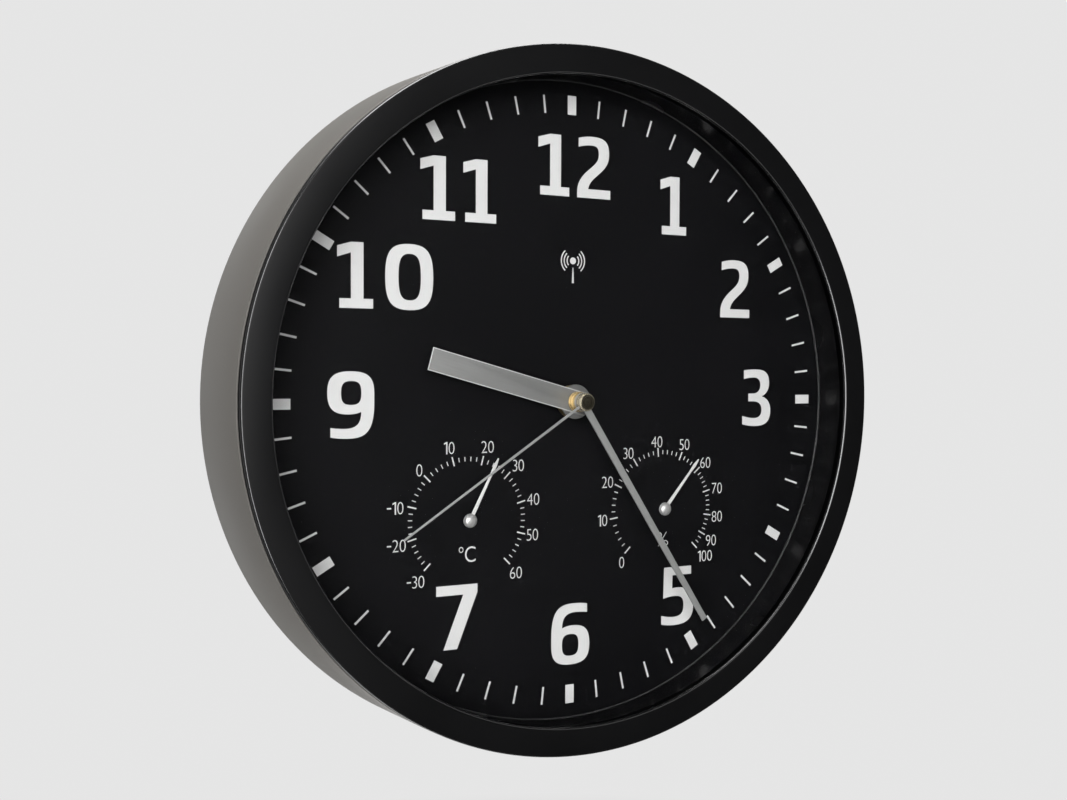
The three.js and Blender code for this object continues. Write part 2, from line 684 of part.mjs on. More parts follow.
// Turned boss of the second hand: the needle sits in a slot in its side
function secondCollet() {
  const front = secondColletFrontZ;
  const section = [
    [ARBOR_RADIUS + FIT, secondColletZ],
    [SECOND_COLLET_RADIUS, secondColletZ],
    [SECOND_COLLET_RADIUS, front - SECOND_COLLET_CHAMFER],
    [SECOND_COLLET_RADIUS - SECOND_COLLET_CHAMFER, front],
    [ARBOR_RADIUS + FIT, front],
  ];
  const half = SECOND_HAND_WIDTH / 2 + FIT;
  const slot = [
    [-half, 0],
    [half, 0],
    [half, SECOND_COLLET_RADIUS + CUT_PAST],
    [-half, SECOND_COLLET_RADIUS + CUT_PAST],
  ];
  const slotBack = secondHandZ - FIT;
  const slotFront = secondHandZ + SECOND_HAND_THICKNESS + FIT;
  const cutter = plate(atClockAngle(slot, SECOND_HAND_ANGLE), slotBack, slotFront);
  return turned(section, COLLAR_FACETS).subtract(cutter);
}

// Gauges: a cup behind the dial holds a wound strip that turns the pointer's shaft
function gaugeCup(x) {
  const front = dialBackZ - FIT;
  const back = front - GAUGE_CUP_DEPTH;
  const bore = GAUGE_SHAFT_RADIUS + RUNNING_CLEARANCE;
  const section = [
    [bore, back],
    [GAUGE_CUP_RADIUS, back],
    [GAUGE_CUP_RADIUS, front],
    [GAUGE_CUP_RADIUS - GAUGE_CUP_WALL, front],
    [GAUGE_CUP_RADIUS - GAUGE_CUP_WALL, back + GAUGE_CUP_WALL],
    [bore, back + GAUGE_CUP_WALL],
  ];
  return turned(section, COLLAR_FACETS, x, GAUGE_Y);
}

function gaugeCoil(x) {
  const inner = GAUGE_SHAFT_RADIUS + SEAT + COIL_STRIP / 2;
  const outer = GAUGE_CUP_RADIUS - GAUGE_CUP_WALL - SEAT - COIL_STRIP / 2;
  const steps = COIL_TURNS * COIL_STEPS_PER_TURN;
  const side = (offset) => {
    const points = [];
    for (let i = 0; i <= steps; i++) {
      const radius = THREE.MathUtils.lerp(inner, outer, i / steps) + offset;
      const [px, py] = polar(radius, (360 * COIL_TURNS * i) / steps);
      points.push([x + px, GAUGE_Y + py]);
    }
    return points;
  };
  const outline = [...side(COIL_STRIP / 2), ...side(-COIL_STRIP / 2).reverse()];
  const back = dialBackZ - FIT - GAUGE_CUP_DEPTH + GAUGE_CUP_WALL + SEAT;
  return plate(outline, back, back + COIL_HEIGHT);
}

function gaugeShaft(x) {
  return rod(GAUGE_SHAFT_RADIUS, dialBackZ - FIT - GAUGE_CUP_DEPTH, pointerZ - FIT, PIN_FACETS, x, GAUGE_Y);
}

function gaugePointer(x, angle) {
  const half = GAUGE_POINTER_WIDTH / 2;
  const meets = (Math.asin(half / GAUGE_HUB_RADIUS) * 180) / Math.PI;
  const outline = [
    ...arcPoints(0, 0, GAUGE_HUB_RADIUS, 90 + meets, 450 - meets, ROUND_FACETS),
    [half, GAUGE_POINTER_BLADE_START],
    [GAUGE_POINTER_BLADE_WIDTH / 2, GAUGE_POINTER_BLADE_MIDDLE],
    [GAUGE_POINTER_TIP_WIDTH / 2, GAUGE_POINTER_LENGTH],
    [-GAUGE_POINTER_TIP_WIDTH / 2, GAUGE_POINTER_LENGTH],
    [-GAUGE_POINTER_BLADE_WIDTH / 2, GAUGE_POINTER_BLADE_MIDDLE],
    [-half, GAUGE_POINTER_BLADE_START],
  ];
  const placed = atClockAngle(outline, angle).map(([px, py]) => [px + x, py + GAUGE_Y]);
  return plate(placed, pointerZ, pointerZ + GAUGE_POINTER_THICKNESS);
}

// Domed cap on the pointer's hub
function gaugeHubCap(x) {
  const dome = [];
  for (let i = 0; i <= ARC_FACETS; i++) {
    const angle = (Math.PI / 2) * (i / ARC_FACETS);
    const radius = i === ARC_FACETS ? 0 : GAUGE_HUB_RADIUS * Math.cos(angle);
    dome.push([radius, hubCapZ + GAUGE_HUB_HEIGHT * Math.sin(angle)]);
  }
  return turned([[0, hubCapZ], ...dome], ROUND_FACETS, x, GAUGE_Y);
}

// Centre wheels of the seconds and minute trains, and the gear posts, go by these directions
const idlerDirection = { seconds: IDLER_ANGLE, time: 180 - IDLER_ANGLE };
const rotorDirection = { seconds: ROTOR_ANGLE, time: 180 - ROTOR_ANGLE };

function idlerPlace(train) {
  return [train === "time" ? -idlerX : idlerX, idlerY];
}

function rotorPlace(train) {
  return [train === "time" ? -rotorX : rotorX, rotorY];
}

function centreWheel(train, back) {
  const phase = idlerDirection[train] + 180 / CENTRE_WHEEL_TEETH;
  return gear(CENTRE_WHEEL_TEETH, TRAIN_MODULE, phase, back, back + GEAR_THICKNESS);
}

function secondsWheel() {
  const front = secondColletFrontZ - FIT;
  const arbor = rod(ARBOR_RADIUS, gearPlateFrontZ + FIT, front, PIN_FACETS);
  return centreWheel("seconds", secondsWheelZ).add(arbor);
}

function minuteWheel() {
  const cannonFront = motionWheelZ + GEAR_THICKNESS + PINION_OVERLAP;
  const cannon = gear(CANNON_TEETH, TRAIN_MODULE, 90, minuteWheelZ, cannonFront);
  const pipe = rod(minutePipeRadius, minuteWheelZ, minuteHandZ + HAND_THICKNESS);
  const bore = drill(minutePipeBore, minuteWheelZ, minuteHandZ + HAND_THICKNESS);
  return centreWheel("time", minuteWheelZ).add(cannon).add(pipe).subtract(bore);
}

function hourWheel() {
  const phase = 90 + 180 / HOUR_WHEEL_TEETH;
  const wheel = gear(HOUR_WHEEL_TEETH, hourModule, phase, hourWheelZ, hourWheelZ + GEAR_THICKNESS);
  const front = hourHandZ + HAND_THICKNESS;
  const bore = drill(hourPipeBore, hourWheelZ, front);
  return wheel.add(rod(hourPipeRadius, hourWheelZ, front)).subtract(bore);
}

// Motion wheel and pinion: they turn on a pin of the front housing
function motionWheel() {
  const wheelFront = motionWheelZ + GEAR_THICKNESS;
  const wheelPhase = 270 + 180 / MOTION_WHEEL_TEETH;
  const pinionFront = hourWheelZ + GEAR_THICKNESS + PINION_OVERLAP;
  const y = motionDistance;
  const wheel = gear(MOTION_WHEEL_TEETH, TRAIN_MODULE, wheelPhase, motionWheelZ, wheelFront, 0, y);
  const pinion = gear(MOTION_PINION_TEETH, hourModule, 270, motionWheelZ, pinionFront, 0, y);
  const bore = drill(POST_RADIUS + RUNNING_CLEARANCE, motionWheelZ, pinionFront, PIN_FACETS, 0, y);
  return wheel.add(pinion).subtract(bore);
}

// Idler: its pinion drives the centre wheel and its wheel is driven by the rotor
function idler(train, wheelBack) {
  const [x, y] = idlerPlace(train);
  const wheelPhase = rotorDirection[train] + 180 / IDLER_TEETH;
  const pinionFront = wheelBack + 2 * GEAR_THICKNESS + GEAR_GAP + PINION_OVERLAP;
  const wheel = gear(IDLER_TEETH, TRAIN_MODULE, wheelPhase, wheelBack, wheelBack + GEAR_THICKNESS, x, y);
  const pinion = gear(PINION_TEETH, TRAIN_MODULE, idlerDirection[train] + 180, wheelBack, pinionFront, x, y);
  const bore = drill(POST_RADIUS + RUNNING_CLEARANCE, wheelBack, pinionFront, PIN_FACETS, x, y);
  return wheel.add(pinion).subtract(bore);
}

function rotor(train, wheelBack) {
  const [x, y] = rotorPlace(train);
  const pinionBack = wheelBack - PINION_OVERLAP;
  const pinionFront = wheelBack + GEAR_THICKNESS + PINION_OVERLAP;
  const magnetBack = pinionBack - MAGNET_LENGTH;
  const pinion = gear(PINION_TEETH, TRAIN_MODULE, rotorDirection[train] + 180, pinionBack, pinionFront, x, y);
  const magnet = rod(MAGNET_RADIUS, magnetBack, pinionBack, ROUND_FACETS, x, y);
  const bore = drill(POST_RADIUS + RUNNING_CLEARANCE, magnetBack, pinionFront, PIN_FACETS, x, y);
  return pinion.add(magnet).subtract(bore);
}

function statorBackZ(wheelBack) {
  return wheelBack - PINION_OVERLAP - (MAGNET_LENGTH + STATOR_THICKNESS) / 2;
}

// Stator: a plate round the rotor with two legs that carry the coil
function stator(train, wheelBack) {
  const [x, y] = rotorPlace(train);
  const back = statorBackZ(wheelBack);
  const front = back + STATOR_THICKNESS;
  const inner = STATOR_HALF_WIDTH - STATOR_LEG_WIDTH;
  const outline = [
    [x - STATOR_HALF_WIDTH, y - STATOR_BELOW],
    [x + STATOR_HALF_WIDTH, y - STATOR_BELOW],
    [x + STATOR_HALF_WIDTH, y + STATOR_LEG_TOP],
    [x + inner, y + STATOR_LEG_TOP],
    [x + inner, y + STATOR_YOKE],
    [x - inner, y + STATOR_YOKE],
    [x - inner, y + STATOR_LEG_TOP],
    [x - STATOR_HALF_WIDTH, y + STATOR_LEG_TOP],
  ];
  return plate(outline, back, front).subtract(drill(STATOR_HOLE_RADIUS, back, front, ROUND_FACETS, x, y));
}

function motorCoil(train, wheelBack) {
  const [x, y] = rotorPlace(train);
  const reach = STATOR_HALF_WIDTH - STATOR_LEG_WIDTH - SEAT;
  const height = y + (STATOR_YOKE + STATOR_LEG_TOP) / 2;
  const level = statorBackZ(wheelBack) + STATOR_THICKNESS / 2;
  return rodAlongX(MOTOR_COIL_RADIUS, x - reach, x + reach, height, level);
}

// Gear plate: posts for the idlers and rotors, pillars under the stators and a rest for the arbor
function gearPlate() {
  const back = housingFloorZ + FIT;
  const half = worksHalfWidth - SEAT;
  let base = box(-half, half, worksBottom + SEAT, gearPlateTop, back, gearPlateFrontZ);
  const levels = { seconds: secondsIdlerZ, time: timeIdlerZ };
  for (const train of ["seconds", "time"]) {
    const level = levels[train];
    const idlerFront = level + 2 * GEAR_THICKNESS + GEAR_GAP + PINION_OVERLAP + GEAR_GAP;
    const rotorFront = level + GEAR_THICKNESS + PINION_OVERLAP + GEAR_GAP;
    base = base.add(rod(POST_RADIUS, back, idlerFront, PIN_FACETS, ...idlerPlace(train)));
    base = base.add(rod(POST_RADIUS, back, rotorFront, PIN_FACETS, ...rotorPlace(train)));
    const [x, y] = rotorPlace(train);
    const corner = STATOR_HALF_WIDTH - STATOR_LEG_WIDTH / 2;
    for (const side of [-1, 1]) {
      const pillarTop = statorBackZ(level) - FIT;
      base = base.add(rod(PILLAR_RADIUS, back, pillarTop, PIN_FACETS, x + side * corner, y + STATOR_YOKE));
    }
  }
  return base;
}

function movementOutline() {
  const half = movementHalfWidth;
  return roundedRectangle(-half, half, movementBottom, movementTop, MOVEMENT_CORNER);
}

// Front housing: the hole for the bushing, the pin of the motion wheel and ribs on the aerial's ends
function frontHousing() {
  const pinBack = motionWheelZ - GEAR_GAP / 2;
  const panel = plate(movementOutline(), frontPlateBackZ, movementFrontZ);
  const hole = drill(bushingRadius + FIT, frontPlateBackZ, movementFrontZ);
  const pin = rod(POST_RADIUS, pinBack, movementFrontZ, PIN_FACETS, 0, motionDistance);
  let housing = panel.subtract(hole).add(pin);
  const ribBack = aerialZ + AERIAL_ROD_RADIUS + FIT;
  for (const side of [-1, 1]) {
    const x = side * (AERIAL_ROD_LENGTH / 2 - PILLAR_RADIUS);
    const [low, high] = [aerialY - AERIAL_RIB_HALF_LENGTH, aerialY + AERIAL_RIB_HALF_LENGTH];
    housing = housing.add(box(x - PILLAR_RADIUS, x + PILLAR_RADIUS, low, high, ribBack, movementFrontZ));
  }
  return housing;
}

// Rear housing: a box with an open battery bay, board pillars and holes for the buttons
function rearHousing() {
  const half = worksHalfWidth;
  const works = box(-half, half, worksBottom, worksTop, housingFloorZ, rearFrontZ + CUT_PAST);
  const bay = box(-half, half, bayBottom, bayTop, movementBackZ - CUT_PAST, bayFrontZ);
  let housing = plate(movementOutline(), movementBackZ, rearFrontZ).subtract(works).subtract(bay);
  const holeRadius = BUTTON_RADIUS + BUTTON_CLEARANCE;
  for (const x of buttonPlaces()) {
    housing = housing.subtract(drill(holeRadius, movementBackZ, housingFloorZ, ROUND_FACETS, x, aerialY));
  }
  for (const side of [-1, 1]) {
    const x = side * (half - 2 * PILLAR_RADIUS);
    housing = housing.add(rod(PILLAR_RADIUS, housingFloorZ - FIT, boardBackZ - FIT, PIN_FACETS, x, aerialY));
  }
  return housing;
}

function buttonPlaces() {
  return [-BUTTON_SPACING, 0, BUTTON_SPACING];
}

// Button: a stem through the housing with a flange inside
function button(x) {
  const flangeBack = housingFloorZ + FIT;
  const section = [
    [0, movementBackZ - BUTTON_PROUD],
    [BUTTON_RADIUS, movementBackZ - BUTTON_PROUD],
    [BUTTON_RADIUS, flangeBack],
    [BUTTON_FLANGE_RADIUS, flangeBack],
    [BUTTON_FLANGE_RADIUS, buttonFlangeFrontZ],
    [0, buttonFlangeFrontZ],
  ];
  return turned(section, ROUND_FACETS, x, aerialY);
}

// Receiver board with a switch behind each button
function circuitBoard() {
  const half = worksHalfWidth - SEAT;
  let board = box(-half, half, boardBottom, worksTop - SEAT, boardBackZ, boardFrontZ);
  const reach = SWITCH_SIZE / 2;
  for (const x of buttonPlaces()) {
    const low = aerialY - reach;
    board = board.add(box(x - reach, x + reach, low, low + SWITCH_SIZE, switchBackZ, boardFrontZ));
  }
  return board;
}

function controlChip() {
  const back = boardFrontZ + FIT;
  const section = [
    [0, back],
    [CHIP_RADIUS, back],
    [CHIP_TOP_RADIUS, back + CHIP_HEIGHT],
    [0, back + CHIP_HEIGHT],
  ];
  return turned(section, ROUND_FACETS, 0, aerialY);
}

function quartzCrystal() {
  const left = CHIP_RADIUS + 2 * CRYSTAL_RADIUS;
  const y = worksTop - 2 * CRYSTAL_RADIUS;
  const z = boardFrontZ + FIT + CRYSTAL_RADIUS;
  return rodAlongX(CRYSTAL_RADIUS, left, left + CRYSTAL_LENGTH, y, z, PIN_FACETS);
}

function aerialRod() {
  return rodAlongX(AERIAL_ROD_RADIUS, -AERIAL_ROD_LENGTH / 2, AERIAL_ROD_LENGTH / 2, aerialY, aerialZ);
}

function aerialCoil() {
  const half = AERIAL_COIL_LENGTH / 2;
  const winding = rodAlongX(AERIAL_COIL_RADIUS, -half, half, aerialY, aerialZ);
  const [left, right] = [-half - CUT_PAST, half + CUT_PAST];
  return winding.subtract(rodAlongX(AERIAL_ROD_RADIUS + SEAT, left, right, aerialY, aerialZ));
}

// Battery and its two contacts
function cell() {
  const half = CELL_LENGTH / 2;
  const nub = rodAlongX(CELL_NUB_RADIUS, half - CUT_PAST, half + CELL_NUB_LENGTH, cellY, cellZ, PIN_FACETS);
  return rodAlongX(CELL_RADIUS, -half, half, cellY, cellZ).add(nub);
}

function bayContact(side) {
  const wall = side * (worksHalfWidth - FIT);
  const inner = wall - side * CONTACT_THICKNESS;
  const half = CONTACT_WIDTH / 2;
  const [left, right] = [Math.min(wall, inner), Math.max(wall, inner)];
  return box(left, right, cellY - half, cellY + half, cellZ - half, cellZ + half);
}

function positiveContact() {
  const tip = CELL_LENGTH / 2 + CELL_NUB_LENGTH + SEAT;
  const wall = worksHalfWidth - FIT;
  const stop = rodAlongX(CELL_NUB_RADIUS, tip, wall - CONTACT_THICKNESS / 2, cellY, cellZ, PIN_FACETS);
  return bayContact(1).add(stop);
}

function negativeContact() {
  const tip = -CELL_LENGTH / 2 - SEAT;
  const wall = -(worksHalfWidth - FIT) + CONTACT_THICKNESS / 2;
  return bayContact(-1).add(rodAlongX(CONTACT_SPRING_RADIUS, wall, tip, cellY, cellZ, PIN_FACETS));
}

// Bushing, gasket, washer and nut hold the movement to the dial
function centreBushing() {
  const flangeFront = frontPlateBackZ - FIT;
  const section = [
    [bushingBore, bushingFlangeBackZ],
    [BUSHING_FLANGE_RADIUS, bushingFlangeBackZ],
    [BUSHING_FLANGE_RADIUS, flangeFront],
    [bushingRadius, flangeFront],
    [bushingRadius, bushingFrontZ],
    [bushingBore, bushingFrontZ],
  ];
  return turned(section, COLLAR_FACETS);
}

function gasket() {
  return tube(bushingRadius + SEAT, GASKET_RADIUS, movementFrontZ + FIT, dialBackZ - FIT, COLLAR_FACETS);
}

function washer() {
  return tube(bushingRadius + SEAT, WASHER_RADIUS, DIAL_FRONT_Z + FIT, washerFrontZ, COLLAR_FACETS);
}

function nut() {
  const back = washerFrontZ + FIT;
  const hexagon = arcPoints(0, 0, NUT_ACROSS_CORNERS_RADIUS, 0, 300, 5);
  const hole = drill(bushingRadius + FIT, back, nutFrontZ, COLLAR_FACETS);
  return plate(hexagon, back, nutFrontZ).subtract(hole);
}

// Assembly
addPiece("case_ring", caseRing(), "caseGrey");
addPiece("front_bezel", frontBezel(), "blackGloss");
addPiece("front_glass", rod(glassRadius, glassBackZ, glassFrontZ, RING_FACETS), "glass");
const spacerBack = DIAL_FRONT_Z + FIT;
const spacerFront = glassBackZ - FIT;
const spacer = tube(glassRadius - SPACER_WALL, glassRadius, spacerBack, spacerFront, RING_FACETS);
addPiece("spacer_ring", spacer, "blackGloss");
addPiece("dial_plate", dialPlate(), "blackSatin");
addPiece("back_cover", backCover(), "blackSatin");
screwPlaces().forEach(([x, y], i) => addPiece(`cover_screw_${i + 1}`, coverScrew(x, y), "steel"));

addPiece("hour_hand", hourHand(), "handSilver");
addPiece("minute_hand", minuteHand(), "handSilver");
addPiece("minute_collet", minuteCollet(), "brass");
addPiece("second_hand", secondHand(), "handSilver");
addPiece("second_collet", secondCollet(), "brass");

const gauges = [
  ["thermometer", -GAUGE_X, (TEMPERATURE_READING - TEMPERATURE_AT_TOP) * DEGREES_PER_KELVIN],
  ["hygrometer", GAUGE_X, HUMIDITY_POINTER_ANGLE],
];
for (const [name, x, angle] of gauges) {
  addPiece(`${name}_cup`, gaugeCup(x), "whitePlastic");
  addPiece(`${name}_coil`, gaugeCoil(x), "copper");
  addPiece(`${name}_shaft`, gaugeShaft(x), "brass");
  addPiece(`${name}_pointer`, gaugePointer(x, angle), "pointer");
  addPiece(`${name}_hub_cap`, gaugeHubCap(x), "pointer");
}

addPiece("movement_front", frontHousing(), "blackSatin");
addPiece("movement_rear", rearHousing(), "blackSatin");
addPiece("centre_bushing", centreBushing(), "brass");
addPiece("dial_gasket", gasket(), "rubber");
addPiece("dial_washer", washer(), "brass");
addPiece("dial_nut", nut(), "brass");
addPiece("gear_plate", gearPlate(), "whitePlastic");
addPiece("seconds_wheel", secondsWheel(), "whitePlastic");
addPiece("minute_wheel", minuteWheel(), "whitePlastic");
addPiece("hour_wheel", hourWheel(), "whitePlastic");
addPiece("motion_wheel", motionWheel(), "whitePlastic");
const trains = [
  ["seconds", secondsIdlerZ],
  ["time", timeIdlerZ],
];
for (const [train, level] of trains) {
  addPiece(`${train}_idler`, idler(train, level), "whitePlastic");
  addPiece(`${train}_rotor`, rotor(train, level), "steel");
  addPiece(`${train}_stator`, stator(train, level), "steel");
  addPiece(`${train}_motor_coil`, motorCoil(train, level), "copper");
}
addPiece("circuit_board", circuitBoard(), "board");
addPiece("control_chip", controlChip(), "blackGloss");
addPiece("quartz_crystal", quartzCrystal(), "steel");
addPiece("aerial_rod", aerialRod(), "ferrite");
addPiece("aerial_coil", aerialCoil(), "copper");
addPiece("battery_cell", cell(), "cellJacket");
addPiece("positive_contact", positiveContact(), "steel");
addPiece("negative_contact", negativeContact(), "steel");
const buttonNames = ["set_button", "receive_button", "reset_button"];
buttonPlaces().forEach((x, i) => addPiece(buttonNames[i], button(x), "whitePlastic"));

export default clock;
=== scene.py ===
"""A round radio-controlled wall clock, dressed over its solids: case, dial, hands, gauges, back and stage."""

import contextlib
import math

import bpy
from mathutils import Matrix, Vector


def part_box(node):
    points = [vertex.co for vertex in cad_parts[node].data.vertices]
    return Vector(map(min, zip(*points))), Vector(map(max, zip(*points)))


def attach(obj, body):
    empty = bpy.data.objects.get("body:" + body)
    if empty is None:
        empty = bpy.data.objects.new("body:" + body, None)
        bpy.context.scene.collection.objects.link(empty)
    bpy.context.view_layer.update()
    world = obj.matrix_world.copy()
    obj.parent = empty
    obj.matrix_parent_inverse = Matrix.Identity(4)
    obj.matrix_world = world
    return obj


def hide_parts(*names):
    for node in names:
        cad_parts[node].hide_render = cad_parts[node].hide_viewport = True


bl_info = {
    "name": "Wall clock",
    "version": (1, 0, 0),
    "blender": (4, 5, 0),
    "location": "View3D > Sidebar > Clock",
    "description": "Models a radio-controlled wall clock with a thermometer and a hygrometer",
    "category": "Object",
}

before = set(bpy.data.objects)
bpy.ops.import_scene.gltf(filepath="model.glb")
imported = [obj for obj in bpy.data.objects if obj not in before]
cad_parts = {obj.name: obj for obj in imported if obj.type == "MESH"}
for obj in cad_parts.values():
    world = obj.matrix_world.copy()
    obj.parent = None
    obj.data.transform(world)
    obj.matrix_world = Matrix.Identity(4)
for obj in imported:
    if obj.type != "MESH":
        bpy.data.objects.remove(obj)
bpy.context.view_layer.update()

MM = 0.001
TAU = 2 * math.pi
UPRIGHT = (math.pi / 2, 0, 0)
MERGE_DISTANCE = 1e-7
SOLID_MERGE_DISTANCE = 1e-6
BORE_STEPS = 36
DOME_STEPS = 12

# Depths of the surface effects, and the lines that a lathe leaves to the metre
GRAIN_DEPTH = 0.05 * MM
LINE_DEPTH = 0.03 * MM
WIRE_DEPTH = 0.1 * MM
LATHE_LINES = 9000.0

# Sizes in metres of what the boxes of the solids don't give
CASE_WALL = 2.4 * MM
LEDGE_THICKNESS = 1.6 * MM
DIAL_LEDGE_WIDTH = 12 * MM
COVER_LEDGE_WIDTH = 9 * MM
PIECE_GAP = 0.1 * MM
BEZEL_OPENING_RADIUS = 133.9 * MM
BEZEL_SIDE_Y = -20.8 * MM
BEZEL_STEP = 0.4 * MM
SPIGOT_INNER_RADIUS = 139 * MM
SPIGOT_OUTER_RADIUS = 143.5 * MM
SPACER_INNER_RADIUS = 136 * MM
WALL_BEAD_RADIUS = 135.4 * MM
WALL_BEAD_HEIGHT = 0.7 * MM
KEYHOLE_Z = 100 * MM
KEYHOLE_NECK_TOP_Z = 112 * MM
COVER_SCREWS = [f"cover_screw_{number}" for number in range(1, 7)]
BUTTON_SWITCH_ROOM = 0.08 * MM

# Bores on the centre axis and of the gauges' shafts
DIAL_HOLE_RADIUS = 4.0 * MM
HOUR_BORE_RADIUS = 2.55 * MM
MINUTE_BORE_RADIUS = 1.65 * MM
SECOND_BORE_RADIUS = 0.85 * MM
SHAFT_HOLE_RADIUS = 1 * MM

# Angles of the hands and pointers at rest, clockwise from 12
HOUR_ANGLE = 285
MINUTE_ANGLE = 147.2
SECOND_ANGLE = 236.7
THERMOMETER_ANGLE = 27
HYGROMETER_ANGLE = 40
GAUGE_X = 47.5 * MM
GAUGE_Z = -48.4 * MM

# Gauge scales: centre and radius of the ring of marks in millimetres, angles of the long marks clockwise
# from the top, the parts between them, and where each label stands on the dial
THERMOMETER_SCALE = {
    "ring": (-48.0, -48.5, 25.3),
    "angles": [-135, -105, -75, -45, -15, 15, 45, 75, 105, 135],
    "parts": [5] * 9,
    "labels": [
        ("-30", -69.7, -72.1), ("-20", -77.9, -57.0), ("-10", -78.4, -41.9), ("0", -69.3, -27.1),
        ("10", -56.3, -18.5), ("20", -39.1, -18.5), ("30", -24.9, -26.6), ("40", -17.9, -41.1),
        ("50", -18.2, -56.1), ("60", -25.9, -71.6),
    ],
    "sign": ("°C", -48.2, -62.4),
}
HYGROMETER_SCALE = {
    "ring": (46.6, -48.1, 25.05),
    "angles": [-134.8, -97.5, -64.5, -33.5, -4.5, 23.6, 49.2, 74.5, 99.5, 119.5, 134.8],
    "parts": [5, 5, 5, 5, 5, 5, 5, 5, 4, 3],
    "labels": [
        ("0", 25.9, -71.0), ("10", 16.1, -52.0), ("20", 18.5, -35.4), ("30", 29.1, -23.1),
        ("40", 43.9, -18.4), ("50", 58.7, -20.0), ("60", 70.2, -28.5), ("70", 76.7, -40.4),
        ("80", 76.8, -53.4), ("90", 73.6, -64.2), ("100", 70.3, -71.1),
    ],
    "sign": ("%", 47.1, -62.0),
}

# Camera of the photograph
CAMERA_YAW = math.radians(27.17)
CAMERA_PITCH = math.radians(1.42)
CAMERA_ROLL = math.radians(-0.2)
CAMERA_DISTANCE = 502.5 * MM
CAMERA_RIGHT = 15.81 * MM
CAMERA_UP = -0.59 * MM
PHOTO_WIDTH = 1067
FOCAL_PIXELS = 1174.1
SENSOR_WIDTH = 36
CLIP_START = 10 * MM

# Soft lamps: place, width and height in metres
LAMPS = {
    "Key": ((-1.1, -1.2, 0.05), 0.75, 2.1),
    "Fill": ((-0.5, -2.2, 0.45), 1.4, 1.4),
    "Top": ((-0.35, 0.15, 1.2), 0.9, 0.9),
    "Back": ((0.5, 2.0, 0.05), 1.4, 1.4),
    "Over": ((-0.05, 0.14, 0.5), 0.5, 0.25),
    "Under": ((-0.05, 0.14, -0.36), 0.5, 0.25),
}

# Outlines of the large numerals on a height of 1000: a start, then lines and curves
NUMERALS = {
    "0": [("oval", 388, 500, 388, 500), ("oval", 393, 500, 181, 352)],
    "1": [
        (
            "path", (0, 915), (213, 978), (411, 978), (411, 142), (563, 142), (563, 0),
            (34, 0), (34, 142), (213, 142), (213, 822), (0, 752),
        )
    ],
    "2": [
        (
            "path", (25, 962), (120, 990, 220, 1003, 310, 1000), (540, 997, 600, 915, 600, 730),
            (600, 600, 545, 520, 430, 420), (320, 325, 230, 270, 205, 145), (625, 145), (625, 0),
            (0, 0), (0, 90), (0, 250, 90, 360, 230, 470), (350, 565, 405, 620, 405, 720),
            (405, 825, 370, 856, 280, 858), (200, 860, 110, 845, 25, 818),
        )
    ],
    "3": [
        (
            "path", (30, 985), (130, 998, 230, 1003, 310, 1000), (515, 997, 585, 920, 585, 755),
            (585, 640, 520, 560, 420, 525), (545, 495, 616, 400, 616, 280), (616, 75, 515, 0, 280, 0),
            (190, 0, 90, 10, 0, 35), (0, 180), (90, 155, 180, 140, 260, 140),
            (370, 142, 422, 195, 422, 285), (422, 385, 355, 435, 240, 437), (130, 437), (130, 575),
            (240, 575), (340, 578, 392, 640, 392, 725), (392, 815, 340, 858, 250, 858),
            (180, 858, 110, 850, 30, 832),
        )
    ],
    "5": [
        (
            "path", (70, 1000), (600, 1000), (600, 858), (235, 858), (228, 635),
            (260, 640, 290, 642, 320, 642), (560, 642, 650, 560, 650, 335), (650, 95, 540, 0, 280, 0),
            (190, 0, 100, 10, 20, 32), (20, 180), (100, 155, 180, 142, 255, 142),
            (400, 143, 455, 195, 455, 325), (455, 458, 405, 500, 270, 500), (200, 500, 130, 490, 55, 470),
        )
    ],
    "6": [
        (
            "path", (663, 975), (590, 994, 490, 1000, 394, 1000), (130, 1000, 0, 900, 0, 465), (0, 330),
            (0, 90, 90, 0, 360, 0), (620, 0, 710, 90, 710, 320), (710, 550, 620, 640, 394, 640),
            (310, 640, 240, 625, 198, 602), (200, 780, 270, 855, 453, 854), (530, 853, 600, 846, 663, 836),
        ),
        ("oval", 351, 322, 154, 178),
    ],
    "7": [("path", (0, 1000), (696, 1000), (696, 870), (350, 0), (120, 0), (455, 845), (0, 845))],
}
NUMERAL_UNITS = 1000
OVAL_FULLNESS = 0.76
CURVE_STEPS = 10

# Where each numeral stands on the dial: digit, left edge, right edge and foot in millimetres
NUMERAL_PLACES = [
    ("1", -16.0, -1.2, 87.2), ("2", 2.7, 19.1, 87.2),
    ("1", 45.0, 58.8, 73.9),
    ("2", 77.9, 94.3, 37.8),
    ("3", 90.8, 107.0, -12.3),
    ("5", 46.8, 64.1, -101.3),
    ("6", -9.0, 9.7, -113.2),
    ("7", -61.9, -43.6, -101.0),
    ("9", -107.4, -88.3, -13.7),
    ("1", -103.4, -88.8, 37.2), ("0", -83.8, -63.4, 37.0),
    ("1", -69.0, -53.9, 73.6), ("1", -50.3, -35.5, 73.6),
]

# Small characters that are drawn, on a height of 1: the figure one and the minus
DRAWN_SIGNS = {
    "1": [(0.21, -0.5), (0.32, -0.5), (0.32, 0.5), (0.23, 0.5), (0.02, 0.39), (0.02, 0.29), (0.21, 0.36)],
    "-": [(0, -0.055), (0.36, -0.055), (0.36, 0.055), (0, 0.055)],
}


# Settings


def steps_setting(name, about, value, least, most):
    return bpy.props.IntProperty(name=name, description=about, default=value, min=least, max=most)


def colour_setting(name, about, value):
    return bpy.props.FloatVectorProperty(
        name=name, description=about, default=value, subtype="COLOR", min=0, max=1
    )


def length_setting(name, about, value, least, most):
    return bpy.props.FloatProperty(
        name=name, description=about, default=value, unit="LENGTH", min=least, max=most
    )


